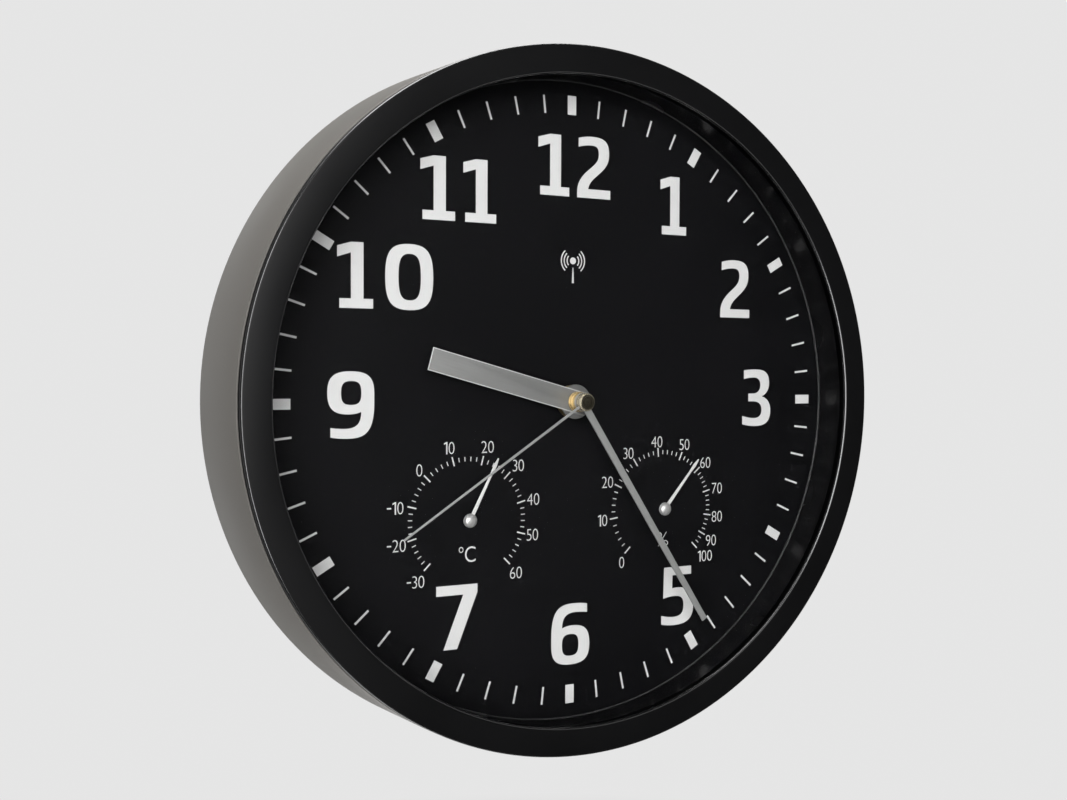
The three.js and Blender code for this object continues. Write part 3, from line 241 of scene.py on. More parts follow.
def mark_setting(name, about, value):
    return bpy.props.FloatVectorProperty(
        name=name, description=about, default=value, size=2, unit="LENGTH", min=0
    )


def power_setting(name, about, value):
    return bpy.props.FloatProperty(name=name, description=about, default=value, unit="POWER", min=0)


def level_setting(name, about, value, most):
    return bpy.props.FloatProperty(name=name, description=about, default=value, min=0, max=most)


class ClockCaseSettings(bpy.types.PropertyGroup):
    """Finish and fineness of the case"""

    ring_steps: steps_setting("Ring steps", "Steps round each large ring", 224, 48, 512)
    small_steps: steps_setting("Small steps", "Steps round each small turned piece", 48, 12, 128)
    lacquer: colour_setting("Case lacquer", "Colour of the case ring", (0.165, 0.156, 0.143))
    bezel: colour_setting("Bezel", "Colour of the bezel and the inner wall", (0.0055, 0.0055, 0.006))
    # A colour painted on the bezel's lip and rim and on the wall's foot, as painted highlights
    painted_highlight: colour_setting("Painted edge highlight", "Colour of the bezel's edges", (0.2, 0.2, 0.203))
    edge_round: length_setting("Rim rounding", "Radius of the bezel's outer edge", MM, 0.2 * MM, 3 * MM)
    lip_round: length_setting("Lip rounding", "Radius of the bezel's inner edge", MM, 0.2 * MM, 3 * MM)


class ClockDialSettings(bpy.types.PropertyGroup):
    """Print on the dial"""

    ground: colour_setting("Dial", "Colour of the dial", (0.0036, 0.0036, 0.0042))
    ink: colour_setting("Print", "Colour of the printed marks", (0.625, 0.625, 0.62))
    ink_height: length_setting(
        "Print thickness", "How far the print stands on the dial", 0.04 * MM, 0.01 * MM, 0.2 * MM
    )
    numeral_height: length_setting(
        "Numeral height", "Height of the hour numerals", 26.3 * MM, 5 * MM, 40 * MM
    )
    track_radius: length_setting(
        "Track radius", "Middle of the minute marks", 125.85 * MM, 60 * MM, 134 * MM
    )
    hour_mark: mark_setting("Hour mark", "Width and length of an hour mark", (4.1 * MM, 8.0 * MM))
    minute_mark: mark_setting("Minute mark", "Width and length of a minute mark", (0.86 * MM, 7.5 * MM))


class ClockHandSettings(bpy.types.PropertyGroup):
    """Hands and pointers"""

    silver: colour_setting("Hands", "Colour of the hands", (0.19, 0.192, 0.188))
    brass: colour_setting("Collets", "Colour of the brass collets", (0.78, 0.6, 0.3))
    collet: colour_setting("Second collet", "Colour of the plated collet", (0.74, 0.66, 0.48))
    pointer: colour_setting("Pointers", "Colour of the gauge pointers", (0.6, 0.6, 0.59))
    edge: length_setting(
        "Edge", "Width of the broken edge round each hand", 0.16 * MM, 0.02 * MM, 0.35 * MM
    )


class ClockStageSettings(bpy.types.PropertyGroup):
    """Light, floor and background"""

    background: level_setting("Background", "Level of the plain background", 0.787, 1)
    key_power: power_setting("Key light", "Power of the tall light at the left", 18)
    fill_power: power_setting("Fill light", "Power of the soft light in front", 17)
    top_power: power_setting("Top light", "Power of the light above", 5)
    back_power: power_setting("Back light", "Power of the soft light behind", 4)
    over_power: power_setting("Over light", "Power of the near light over the case", 2.2)
    under_power: power_setting("Under light", "Power of the near light under the case", 0.8)
    ambient: level_setting("Ambient", "Level of the even light all round", 0.25, 2)
    floor_level: length_setting("Floor", "Height of the floor under the clock", -0.4, -2, 0)


# Modelling helpers


def start_piece():
    """Object mode with nothing selected"""
    if bpy.context.mode != "OBJECT":
        bpy.ops.object.mode_set(mode="OBJECT")
    bpy.ops.object.select_all(action="DESELECT")


def choose(*pieces):
    """Selects these pieces and makes the first one active"""
    start_piece()
    for piece in pieces:
        piece.select_set(True)
    bpy.context.view_layer.objects.active = pieces[0]


@contextlib.contextmanager
def editing(piece):
    """Edit mode on one piece with all of it selected, then object mode again"""
    choose(piece)
    bpy.ops.object.mode_set(mode="EDIT")
    bpy.ops.mesh.select_all(action="SELECT")
    yield
    bpy.ops.object.mode_set(mode="OBJECT")


def settle(piece, place=(0, 0, 0), turn=(0, 0, 0)):
    """Moves and turns a piece in its mesh, so that the object stays at the origin"""
    choose(piece)
    piece.location = place
    piece.rotation_euler = turn
    bpy.ops.object.transform_apply()
    return piece


def span(name):
    """Front and back level of a node's box"""
    low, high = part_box(name)
    return low.y, high.y


def reach(name):
    """Radius of a ring or disc on the centre axis"""
    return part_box(name)[1].x


def middle(name):
    """Centre of a node's box"""
    low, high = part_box(name)
    return (low + high) / 2


def clean_mesh():
    """In edit mode: merges doubles and turns all faces outwards"""
    bpy.ops.mesh.select_all(action="SELECT")
    bpy.ops.mesh.remove_doubles(threshold=MERGE_DISTANCE)
    bpy.ops.mesh.normals_make_consistent(inside=False)


def smooth(piece, degrees=32):
    choose(piece)
    bpy.ops.object.shade_smooth_by_angle(angle=math.radians(degrees))
    return piece


def rounded(corners, steps):
    """Points of a closed section; a corner is a radius and a level, and may have a rounding"""
    points = []
    spots = [Vector(corner[:2]) for corner in corners]
    for i, corner in enumerate(spots):
        size = sum(corners[i][2:])
        if not size:
            points.append(corner)
            continue
        before = (spots[i - 1] - corner).normalized()
        after = (spots[(i + 1) % len(spots)] - corner).normalized()
        half = before.angle(after) / 2
        centre = corner + (before + after).normalized() * (size / math.sin(half))
        first = corner + before * (size / math.tan(half)) - centre
        last = corner + after * (size / math.tan(half)) - centre
        for step in range(steps + 1):
            points.append(centre + first.lerp(last, step / steps).normalized() * size)
    return points


def turned(name, corners, steps, round_steps=4, closed=True, along="Y", centre=(0, 0, 0)):
    """A piece turned from the corners of its section, as on a lathe"""
    points = [point.to_3d() for point in rounded(corners, round_steps)]
    axis = (0, 1, 0)
    if along == "X":
        points = [point.yxz for point in points]
        axis = (1, 0, 0)
    if closed:
        points.append(points[0])
    start_piece()
    bpy.ops.mesh.primitive_plane_add(size=MM, location=(0, 0, 0))
    piece = bpy.context.object
    piece.name = name
    with editing(piece):
        bpy.ops.mesh.merge(type="CENTER")
        bpy.ops.transform.translate(value=points[0])
        for here, there in zip(points, points[1:]):
            bpy.ops.mesh.extrude_vertices_move(TRANSFORM_OT_translate={"value": there - here})
        bpy.ops.mesh.select_all(action="SELECT")
        bpy.ops.mesh.remove_doubles(threshold=MERGE_DISTANCE)
        bpy.ops.mesh.spin(steps=steps, angle=TAU, center=(0, 0, 0), axis=axis)
        clean_mesh()
        bpy.ops.transform.translate(value=centre)
    return smooth(piece)


def path_points(shape):
    """Bezier points (left handle, point, right handle) of one outline"""
    if shape[0] == "oval":
        x, y, rx, ry = shape[1:]
        kx, ky = rx * OVAL_FULLNESS, ry * OVAL_FULLNESS
        return [
            ((x - kx, y + ry), (x, y + ry), (x + kx, y + ry)),
            ((x + rx, y + ky), (x + rx, y), (x + rx, y - ky)),
            ((x + kx, y - ry), (x, y - ry), (x - kx, y - ry)),
            ((x - rx, y - ky), (x - rx, y), (x - rx, y + ky)),
        ]
    spots = [[p[-2:], p[-2:], p[-2:]] for p in shape[1:]]
    for i, step in enumerate(shape[1:]):
        if len(step) == 6:
            spots[i - 1][2] = step[0:2]
            spots[i][0] = step[2:4]
    return spots


def flat_curve(name, outlines, front, back):
    """A thin plate in the dial's plane from closed outlines, which may be polygons or Bezier points"""
    curve = bpy.data.curves.new(name, "CURVE")
    curve.dimensions = "2D"
    curve.fill_mode = "BOTH"
    curve.resolution_u = CURVE_STEPS
    curve.extrude = (back - front) / 2
    for outline in outlines:
        if len(outline[0]) == 3:
            spline = curve.splines.new("BEZIER")
            spline.bezier_points.add(len(outline) - 1)
            for point, (left, spot, right) in zip(spline.bezier_points, outline):
                point.handle_left_type = point.handle_right_type = "FREE"
                point.co = (*spot, 0)
                point.handle_left = (*left, 0)
                point.handle_right = (*right, 0)
        else:
            spline = curve.splines.new("POLY")
            spline.points.add(len(outline) - 1)
            for point, spot in zip(spline.points, outline):
                point.co = (*spot, 0, 1)
        spline.use_cyclic_u = True
    piece = bpy.data.objects.new(name, curve)
    bpy.context.scene.collection.objects.link(piece)
    return stand_up(piece, (front + back) / 2)


def stand_up(piece, level):
    """Makes a flat curve or text a mesh and stands it in the dial's plane"""
    choose(piece)
    bpy.ops.object.convert(target="MESH")
    piece = settle(bpy.context.object, (0, level, 0), UPRIGHT)
    with editing(piece):
        clean_mesh()
    return piece


def join(name, pieces):
    """Joins pieces into one mesh"""
    choose(*pieces)
    if len(pieces) > 1:
        bpy.ops.object.join()
    piece = bpy.context.object
    piece.name = name
    return piece


def apply_modifier(piece, kind, **values):
    """Adds one modifier with these values and applies it"""
    choose(piece)
    modifier = piece.modifiers.new(kind.title(), kind)
    for key, value in values.items():
        setattr(modifier, key, value)
    bpy.ops.object.modifier_apply(modifier=modifier.name)


def break_edges(piece, width):
    """Rounds a piece's sharp edges"""
    flat_angle, sharp_angle = math.radians(1), math.radians(40)
    with editing(piece):
        bpy.ops.mesh.dissolve_limited(angle_limit=flat_angle)
    apply_modifier(
        piece, "BEVEL", width=width, segments=2, limit_method="ANGLE", angle_limit=sharp_angle,
        harden_normals=False,
    )
    return smooth(piece)


def cut(piece, *groups):
    """Cuts each group of cutters in turn out of a piece and removes them"""
    for cutters in groups:
        tool = join("cutter", cutters)
        apply_modifier(piece, "BOOLEAN", operation="DIFFERENCE", solver="EXACT", object=tool)
        bpy.data.objects.remove(tool, do_unlink=True)
    return smooth(piece)


def round_cutter(radius, x, z, front, back, steps=48):
    start_piece()
    bpy.ops.mesh.primitive_cylinder_add(vertices=steps, radius=radius, depth=back - front)
    return settle(bpy.context.object, (x, (front + back) / 2, z), UPRIGHT)


def block(left, right, low, high, front, back, corner=0, steps=6):
    """A block with rounded upright edges, seen from the front"""
    start_piece()
    bpy.ops.mesh.primitive_cube_add(size=1)
    piece = bpy.context.object
    piece.scale = (right - left, back - front, high - low)
    settle(piece, ((left + right) / 2, (front + back) / 2, (low + high) / 2))
    if corner:
        with editing(piece):
            bpy.ops.mesh.select_mode(type="EDGE")
            bpy.ops.mesh.select_all(action="DESELECT")
        for edge in piece.data.edges:
            a, b = (piece.data.vertices[i].co for i in edge.vertices)
            edge.select = abs(a.y - b.y) > (back - front) / 2
        bpy.ops.object.mode_set(mode="EDIT")
        bpy.ops.mesh.bevel(offset=corner, segments=steps, affect="EDGES")
        bpy.ops.mesh.select_mode(type="VERT")
        bpy.ops.object.mode_set(mode="OBJECT")
    return piece


def copy_of(piece, name, place=(0, 0, 0), turn=(0, 0, 0)):
    """A copy with its own mesh, moved and turned in the mesh"""
    choose(piece)
    bpy.ops.object.duplicate(linked=False)
    twin = bpy.context.object
    twin.name = name
    return settle(twin, place, turn)


def solid_copy(source_name, name):
    """A merged copy of a solid's mesh"""
    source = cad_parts[source_name]
    twin = source.copy()
    twin.data = source.data.copy()
    twin.parent = None
    twin.name = name
    for key in list(twin.keys()):
        del twin[key]
    bpy.context.scene.collection.objects.link(twin)
    with editing(twin):
        bpy.ops.mesh.remove_doubles(threshold=SOLID_MERGE_DISTANCE)
    return twin


def clock_turn(points, degrees, x=0, z=0):
    """Turns an outline that points up to a clock angle, about (x, z)"""
    angle = math.radians(degrees)
    c, s = math.cos(angle), math.sin(angle)
    return [(x + px * c + pz * s, z + pz * c - px * s) for px, pz in points]


def arc(x, z, radius, start, end, steps):
    """Points on an arc between two clock angles"""
    angles = [math.radians(start + (end - start) * i / steps) for i in range(steps + 1)]
    return [(x + radius * math.sin(a), z + radius * math.cos(a)) for a in angles]


def circle(radius, steps, x=0, z=0):
    """A round outline about (x, z)"""
    return arc(x, z, radius, 0, 360 - 360 / steps, steps - 1)


def finish(piece, material, body, slot, *nodes):
    """Gives a piece its material and its place in the clock"""
    piece.data.materials.clear()
    piece.data.materials.append(material)
    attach(piece, body)
    if nodes:
        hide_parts(*nodes)


# Shader nodes


def feed(tree, made, inputs):
    """Sets a node's inputs: a socket is linked and a plain value is set"""
    for key, value in inputs.items():
        socket = made.inputs[key.replace("_", " ") if isinstance(key, str) else key]
        if isinstance(value, bpy.types.NodeSocket):
            tree.links.new(value, socket)
        else:
            socket.default_value = value


def node(tree, kind, setup=None, **inputs):
    """A new shader node; an underscore in an input's name stands for a space"""
    made = tree.nodes.new("ShaderNode" + kind)
    for key, value in (setup or {}).items():
        setattr(made, key, value)
    feed(tree, made, inputs)
    return made


def object_place(tree):
    return node(tree, "TexCoord").outputs["Object"]


def maths(tree, operation, *values):
    made = node(tree, "Math", {"operation": operation})
    feed(tree, made, dict(enumerate(values)))
    return made.outputs["Value"]


def length_of(tree, vector):
    return node(tree, "VectorMath", {"operation": "LENGTH"}, Vector=vector).outputs["Value"]


def ramp(tree, value, start, end, low=0, high=1, interpolation="LINEAR"):
    """Maps a value from start..end to low..high"""
    setup = {"interpolation_type": interpolation}
    made = node(tree, "MapRange", setup, Value=value, From_Min=start, From_Max=end, To_Min=low, To_Max=high)
    return made.outputs["Result"]


def between(tree, factor, low=0, high=1):
    """Maps 0.3..0.7, the range that a noise mostly keeps to, to low..high"""
    return ramp(tree, factor, 0.3, 0.7, low, high)


def toned(tree, noise, colour, dark, light):
    """A colour that goes with a noise from darker to lighter"""
    return mixed(tree, between(tree, noise), shade(colour, dark), shade(colour, light))


def varied(tree, noise, value, share):
    """A value that varies with a noise by a share of itself either way"""
    return between(tree, noise, value * (1 - share), value * (1 + share))


def mixed(tree, factor, under, over, kind="RGBA"):
    """Mixes two colours or values by a factor"""
    return node(tree, "Mix", {"data_type": kind}, Factor=factor, A=under, B=over).outputs["Result"]


def mixed_shader(tree, factor, under, over):
    made = node(tree, "MixShader", Fac=factor)
    feed(tree, made, {1: under, 2: over})
    return made.outputs["Shader"]


def bumped(tree, height, strength, distance):
    return node(tree, "Bump", Height=height, Strength=strength, Distance=distance).outputs["Normal"]


def shade(colour, amount=1):
    """A colour made lighter or darker, with its alpha"""
    return (*(min(1.0, c * amount) for c in colour[:3]), 1)


def grey(level):
    return (level, level, level, 1)


def band(tree, value, centre, core, edge):
    """1 within core of a value, falling to 0 at edge"""
    away = maths(tree, "ABSOLUTE", maths(tree, "SUBTRACT", value, centre))
    return ramp(tree, away, core, edge, 1, 0, "SMOOTHSTEP")


def axis_distance(tree):
    """Distance from the clock's centre axis and the place along it"""
    parts = node(tree, "SeparateXYZ", Vector=object_place(tree)).outputs
    flat = node(tree, "CombineXYZ", X=parts["X"], Z=parts["Z"]).outputs["Vector"]
    return length_of(tree, flat), parts["Y"]


def new_group(name, **inputs):
    """A node group that puts out a height and a tone, with its inputs and its last node"""
    group = bpy.data.node_groups.new(name, "ShaderNodeTree")
    for key, kind in inputs.items():
        group.interface.new_socket(key.replace("_", " "), in_out="INPUT", socket_type="NodeSocket" + kind)
    for key in ("Height", "Tone"):
        group.interface.new_socket(key, in_out="OUTPUT", socket_type="NodeSocketFloat")
    return group, group.nodes.new("NodeGroupInput").outputs, group.nodes.new("NodeGroupOutput")


def grain_group(name):
    """Fine grain of a moulded or lacquered surface: a height and a slow change of tone"""
    group, given, last = new_group(name, Vector="Vector", Grain_scale="Float", Cloud_scale="Float")
    place = given["Vector"]
    grain = node(group, "TexNoise", Vector=place, Scale=given["Grain scale"], Detail=3.0, Roughness=0.6)
    cloud = node(group, "TexNoise", Vector=place, Scale=given["Cloud scale"], Detail=2.0, Roughness=0.5)
    feed(group, last, {"Height": grain.outputs["Fac"], "Tone": cloud.outputs["Fac"]})
    return group


def line_group(name):
    """Fine lines left by a brush or a lathe tool: the vector is stretched along the lines"""
    group, given, last = new_group(name, Vector="Vector", Stretch="Vector")
    stretched = node(group, "VectorMath", {"operation": "MULTIPLY"})
    feed(group, stretched, {0: given["Vector"], 1: given["Stretch"]})
    place = stretched.outputs["Vector"]
    fine = node(group, "TexNoise", Vector=place, Scale=1.0, Detail=2.0, Roughness=0.5)
    broad = node(group, "TexNoise", Vector=place, Scale=0.2, Detail=1.0, Roughness=0.5)
    feed(group, last, {"Height": fine.outputs["Fac"], "Tone": broad.outputs["Fac"]})
    return group


def grain_on(tree, grain, cloud):
    """Height and tone of the moulded grain"""
    group = bpy.data.node_groups.get("Moulded grain") or grain_group("Moulded grain")
    place = object_place(tree)
    made = node(tree, "Group", {"node_tree": group}, Vector=place, Grain_scale=grain, Cloud_scale=cloud)
    return made.outputs["Height"], made.outputs["Tone"]


def lines_on(tree, vector, stretch):
    """Height and tone of the tool's lines"""
    group = bpy.data.node_groups.get("Tool lines") or line_group("Tool lines")
    made = node(tree, "Group", {"node_tree": group}, Vector=vector, Stretch=stretch)
    return made.outputs["Height"], made.outputs["Tone"]


# Materials


def blank_material(name):
    material = bpy.data.materials.new(name)
    material.use_nodes = True
    return material, material.node_tree


def shared(name, make, *values, **more):
    """The material of that name, made at its first use"""
    return bpy.data.materials.get(name) or make(name, *values, **more)


def dress(material, **inputs):
    """Sets the inputs of a material's shader"""
    tree = material.node_tree
    feed(tree, tree.nodes["Principled BSDF"], inputs)
    return material


def overlay(material, mask, input_name, value):
    """Gives a shader's linked input another value or colour where a mask is set"""
    tree = material.node_tree
    socket = tree.nodes["Principled BSDF"].inputs[input_name]
    kind = "FLOAT" if socket.type == "VALUE" else "RGBA"
    tree.links.new(mixed(tree, mask, socket.links[0].from_socket, value, kind), socket)


def cover(material, factor, over):
    """Mixes another shader over the material's own"""
    tree = material.node_tree
    own = tree.nodes["Principled BSDF"].outputs["BSDF"]
    tree.links.new(mixed_shader(tree, factor, own, over), tree.nodes["Material Output"].inputs["Surface"])
    return material


def grained(name, colour, roughness, grain, bump, cloud=22.0, contrast=0.08, metallic=0.0, specular=0.5):
    """A moulded, printed or lacquered surface with fine grain and slow changes of tone and gloss"""
    material, tree = blank_material(name)
    height, tone = grain_on(tree, grain, cloud)
    return dress(
        material,
        Base_Color=toned(tree, tone, colour, 1 - contrast, 1 + contrast),
        Roughness=varied(tree, tone, roughness, 0.12),
        Normal=bumped(tree, height, bump, GRAIN_DEPTH),
        Metallic=metallic,
        Specular_IOR_Level=specular,
    )


def lined(name, colour, roughness, stretch, turn=0.0, metallic=1.0, bump=0.1, contrast=0.1):
    """Brushed or rolled metal: fine lines along one direction of the piece"""
    material, tree = blank_material(name)
    mapped = node(tree, "Mapping", Vector=object_place(tree), Rotation=(0, math.radians(turn), 0))
    height, tone = lines_on(tree, mapped.outputs["Vector"], stretch)
    return dress(
        material,
        Base_Color=toned(tree, height, colour, 1 - contrast, 1 + contrast),
        Roughness=varied(tree, tone, roughness, 0.15),
        Normal=bumped(tree, height, bump, LINE_DEPTH),
        Metallic=metallic,
    )


def lathe_turned(name, colour, roughness, metallic=1.0):
    """Metal turned on a lathe: rings about the clock's centre axis"""
    material, tree = blank_material(name)
    radius, along = axis_distance(tree)
    rings = node(tree, "CombineXYZ", X=radius, Y=along).outputs["Vector"]
    height, tone = lines_on(tree, rings, (LATHE_LINES, LATHE_LINES, 1))
    return dress(
        material,
        Base_Color=toned(tree, tone, colour, 0.85, 1.12),
        Roughness=varied(tree, height, roughness, 0.2),
        Normal=bumped(tree, height, 0.25, LINE_DEPTH),
        Metallic=metallic,
    )


def wound(name, colour):
    """Enamelled wire wound along the clock's width: bands across it, with painted shade in the grooves
    between the turns
    """
    material, tree = blank_material(name)
    setup = {"bands_direction": "X"}
    wave = node(tree, "TexWave", setup, Vector=object_place(tree), Scale=900.0, Distortion=0.2)
    bands = wave.outputs["Fac"]
    # The grooves between the turns are painted down to a third of the colour: painted shade
    return dress(
        material,
        Base_Color=mixed(tree, bands, shade(colour, 0.35), shade(colour)),
        Normal=bumped(tree, bands, 0.5, WIRE_DEPTH),
        Metallic=0.85,
        Roughness=0.35,
    )


def clear_glass(name):
    """Clear panel with little glare that lets the light through to the dial"""
    material, tree = blank_material(name)
    tone = grain_on(tree, grain=60.0, cloud=9.0)[1]
    haze = between(tree, tone, 0.0, 0.015)
    dress(material, Base_Color=grey(1), Roughness=haze, Transmission_Weight=1, IOR=1.1)
    shadow = node(tree, "LightPath").outputs["Is Shadow Ray"]
    return cover(material, shadow, node(tree, "BsdfTransparent").outputs["BSDF"])


def bezel_black(name):
    """Satin black with painted highlights along the rim and the lip, where the edges are made lighter and
    metallic; the side under the rim is made metallic and rough, a painted shade that darkens it
    """
    case = bpy.context.scene.clock_case
    material = grained(
        name, case.bezel, 0.33, grain=5200.0, bump=0.04, cloud=16.0, contrast=0.1, specular=0.4
    )
    tree = material.node_tree
    radius, along = axis_distance(tree)
    rounding = band(tree, along, span("front_bezel")[0], 0.8 * case.lip_round, case.lip_round)
    inside = band(tree, radius, BEZEL_OPENING_RADIUS, 0.25 * case.lip_round, 0.7 * case.lip_round)
    lip = maths(tree, "MULTIPLY", inside, rounding)
    rim = band(tree, radius, reach("front_bezel") - 0.4 * case.edge_round, 0.12 * MM, 0.3 * MM)
    side = band(tree, along, BEZEL_SIDE_Y, 2.4 * MM, 2.9 * MM)
    for mask, roughness in ((side, 0.7), (lip, 0.24), (rim, 0.2)):
        overlay(material, mask, "Roughness", roughness)
    # The metallic mask (named bare) paints highlights on the lip and the rim and paints shade on the side; no
    # metal shows there
    bare = maths(tree, "MAXIMUM", maths(tree, "MAXIMUM", lip, rim), side)
    # The lip and the rim get a lighter colour: a painted highlight
    for mask, painted_lightness in ((lip, 1.25), (rim, 0.85)):
        overlay(material, mask, "Base Color", shade(case.painted_highlight, painted_lightness))
    return dress(material, Metallic=bare)


def wall_black(name):
    """Gloss black with a painted highlight: a paler edge at its foot on the dial"""
    case = bpy.context.scene.clock_case
    material = grained(name, case.bezel, 0.26, grain=900.0, bump=0.01, cloud=16.0, contrast=0.1, specular=0.3)
    tree = material.node_tree
    # The foot of the wall is painted paler: a painted highlight along the bead
    foot = band(tree, axis_distance(tree)[0], WALL_BEAD_RADIUS, 0.3 * MM, 0.5 * MM)
    overlay(material, foot, "Base Color", shade(case.painted_highlight, 0.2))
    return material


def hand_metal(name, angle, painted_lightness=1.0):
    """Silver lacquer with fine lines along a hand; a lightness above 1 paints light on a hand, as a lighter
    copy of the same silver
    """
    colour = shade(bpy.context.scene.clock_hands.silver, painted_lightness)
    along = (5200, 5200, 60)
    return lined(name, colour, 0.42, along, turn=-angle, metallic=0.25, bump=0.12, contrast=0.06)


def cell_jacket(name):
    """A plain blue jacket with a pale band at the positive end and bare metal at both ends"""
    low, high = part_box("battery_cell")
    steel, blue, pale = grey(0.6), (0.03, 0.06, 0.14, 1), (0.5, 0.48, 0.44, 1)
    material, tree = blank_material(name)
    across = node(tree, "SeparateXYZ", Vector=object_place(tree)).outputs["X"]
    bands = node(tree, "ValToRGB", Fac=ramp(tree, across, low.x, high.x))
    bands.color_ramp.interpolation = "CONSTANT"
    stops = bands.color_ramp.elements
    stops[0].color = steel
    stops[1].position = 0.012
    stops[1].color = blue
    stops.new(0.7).color = pale
    stops.new(0.962).color = steel
    height, tone = grain_on(tree, grain=1500.0, cloud=40.0)
    return dress(
        material,
        Base_Color=bands.outputs["Color"],
        Roughness=between(tree, tone, 0.22, 0.36),
        Normal=bumped(tree, height, 0.05, GRAIN_DEPTH),
        Metallic=0.4,
    )


def satin_black():
    return shared("Satin black", grained, (0.02, 0.02, 0.021), 0.5, grain=1800.0, bump=0.3)


def dial_print():
    ink = bpy.context.scene.clock_dial.ink
    return shared("Dial print", grained, ink, 0.55, grain=3000.0, bump=0.05, cloud=60.0, contrast=0.015)


def blade_lacquer():
    colour = shade(bpy.context.scene.clock_hands.pointer, 1.25)
    return shared(
        "Blade lacquer", grained, colour, 0.4, grain=2400.0, bump=0.02, contrast=0.04, metallic=0.2
    )


def pointer_lacquer():
    colour = bpy.context.scene.clock_hands.pointer
    return shared(
        "Pointer lacquer", grained, colour, 0.3, grain=2400.0, bump=0.02, contrast=0.04, metallic=0.6
    )


def bright_steel():
    return shared("Bright steel", lined, (0.55, 0.56, 0.58), 0.3, (400, 4000, 4000))


def white_moulding():
    return shared("White moulding", grained, (0.72, 0.71, 0.67), 0.45, grain=1500.0, bump=0.15)


# Print on the dial


def printed(name, outlines):
    """A print on the dial's front from closed outlines"""
    front = span("dial_plate")[0]
    return flat_curve(name, outlines, front - bpy.context.scene.clock_dial.ink_height, front)


def finish_print(name, prints):
    finish(join(name, prints), dial_print(), "case", "white_plastic")


# Operators


class CLOCK_OT_stage(bpy.types.Operator):
    """Sets up the camera, the lights, the floor and the background"""

    bl_idname = "clock.stage"
    bl_label = "Stage"

    def execute(self, context):
        stage = context.scene.clock_stage
        context.scene.view_settings.view_transform = "Standard"
        self.camera(context)
        for name, (place, width, height) in LAMPS.items():
            self.lamp(name, place, width, height, getattr(stage, name.lower() + "_power"))
        self.world(context, stage)
        self.floor(stage)
        return {"FINISHED"}

    def camera(self, context):
        facing = (
            Matrix.Rotation(-CAMERA_YAW, 4, "Z")
            @ Matrix.Rotation(math.pi / 2 - CAMERA_PITCH, 4, "X")
            @ Matrix.Rotation(-CAMERA_ROLL, 4, "Z")
        )
        dial_centre = Matrix.Translation((0, span("dial_plate")[0], 0))
        step_back = Matrix.Translation((-CAMERA_RIGHT, -CAMERA_UP, CAMERA_DISTANCE))
        start_piece()
        bpy.ops.object.camera_add()
        camera = context.object
        camera.name = "Photograph view"
        camera.matrix_world = dial_centre @ facing @ step_back
        camera.data.sensor_fit = "HORIZONTAL"
        camera.data.sensor_width = SENSOR_WIDTH
        camera.data.lens = SENSOR_WIDTH * FOCAL_PIXELS / PHOTO_WIDTH
        camera.data.clip_start = CLIP_START
        context.scene.camera = camera

    def lamp(self, name, place, width, height, power):
        """A soft lamp that points to the origin"""
        start_piece()
        bpy.ops.object.light_add(type="AREA", location=place)
        lamp = bpy.context.object
        lamp.name = name
        lamp.data.shape = "RECTANGLE"
        lamp.data.size = width
        lamp.data.size_y = height
        lamp.data.energy = power
        lamp.visible_camera = False
        lamp.rotation_euler = (-Vector(place)).to_track_quat("-Z", "Y").to_euler()

    def world(self, context, stage):
        """Even light and a plain background; glossy and transmitted rays meet a dark room, bright behind"""
        dark, dark_to, bright_from = 0.02, 0.86, 1.0
        world = bpy.data.worlds.new("Studio")
        context.scene.world = world
        world.use_nodes = True
        tree = world.node_tree
        tree.nodes.clear()
        path = node(tree, "LightPath").outputs
        place = node(tree, "TexCoord").outputs["Generated"]
        depth = node(tree, "SeparateXYZ", Vector=place).outputs["Y"]
        room = ramp(tree, depth, dark_to, bright_from, dark, stage.background)
        seen = node(tree, "Background", Color=grey(stage.background)).outputs["Background"]
        mirrored = node(tree, "Background", Color=grey(1), Strength=room).outputs["Background"]
        even = node(tree, "Background", Color=grey(1), Strength=stage.ambient).outputs["Background"]
        through = maths(tree, "MAXIMUM", path["Is Glossy Ray"], path["Is Transmission Ray"])
        unseen = mixed_shader(tree, through, even, mirrored)
        node(tree, "OutputWorld", Surface=mixed_shader(tree, path["Is Camera Ray"], unseen, seen))

    def floor(self, stage):
        """A pale floor that fades into the background"""
        size, fade_from, fade_to = 8, 0.45, 0.75
        start_piece()
        bpy.ops.mesh.primitive_plane_add(size=size)
        floor = bpy.context.object
        floor.name = "Floor"
        settle(floor, (0, 0, stage.floor_level))
        material, tree = blank_material("Pale floor")
        dress(material, Base_Color=grey(0.7), Roughness=0.9)
        away = ramp(tree, length_of(tree, object_place(tree)), fade_from, fade_to)
        seen = maths(tree, "MULTIPLY", away, node(tree, "LightPath").outputs["Is Camera Ray"])
        glow = node(tree, "Emission", Color=grey(stage.background)).outputs["Emission"]
        floor.data.materials.append(cover(material, seen, glow))
        floor.visible_glossy = False
        floor.visible_transmission = False


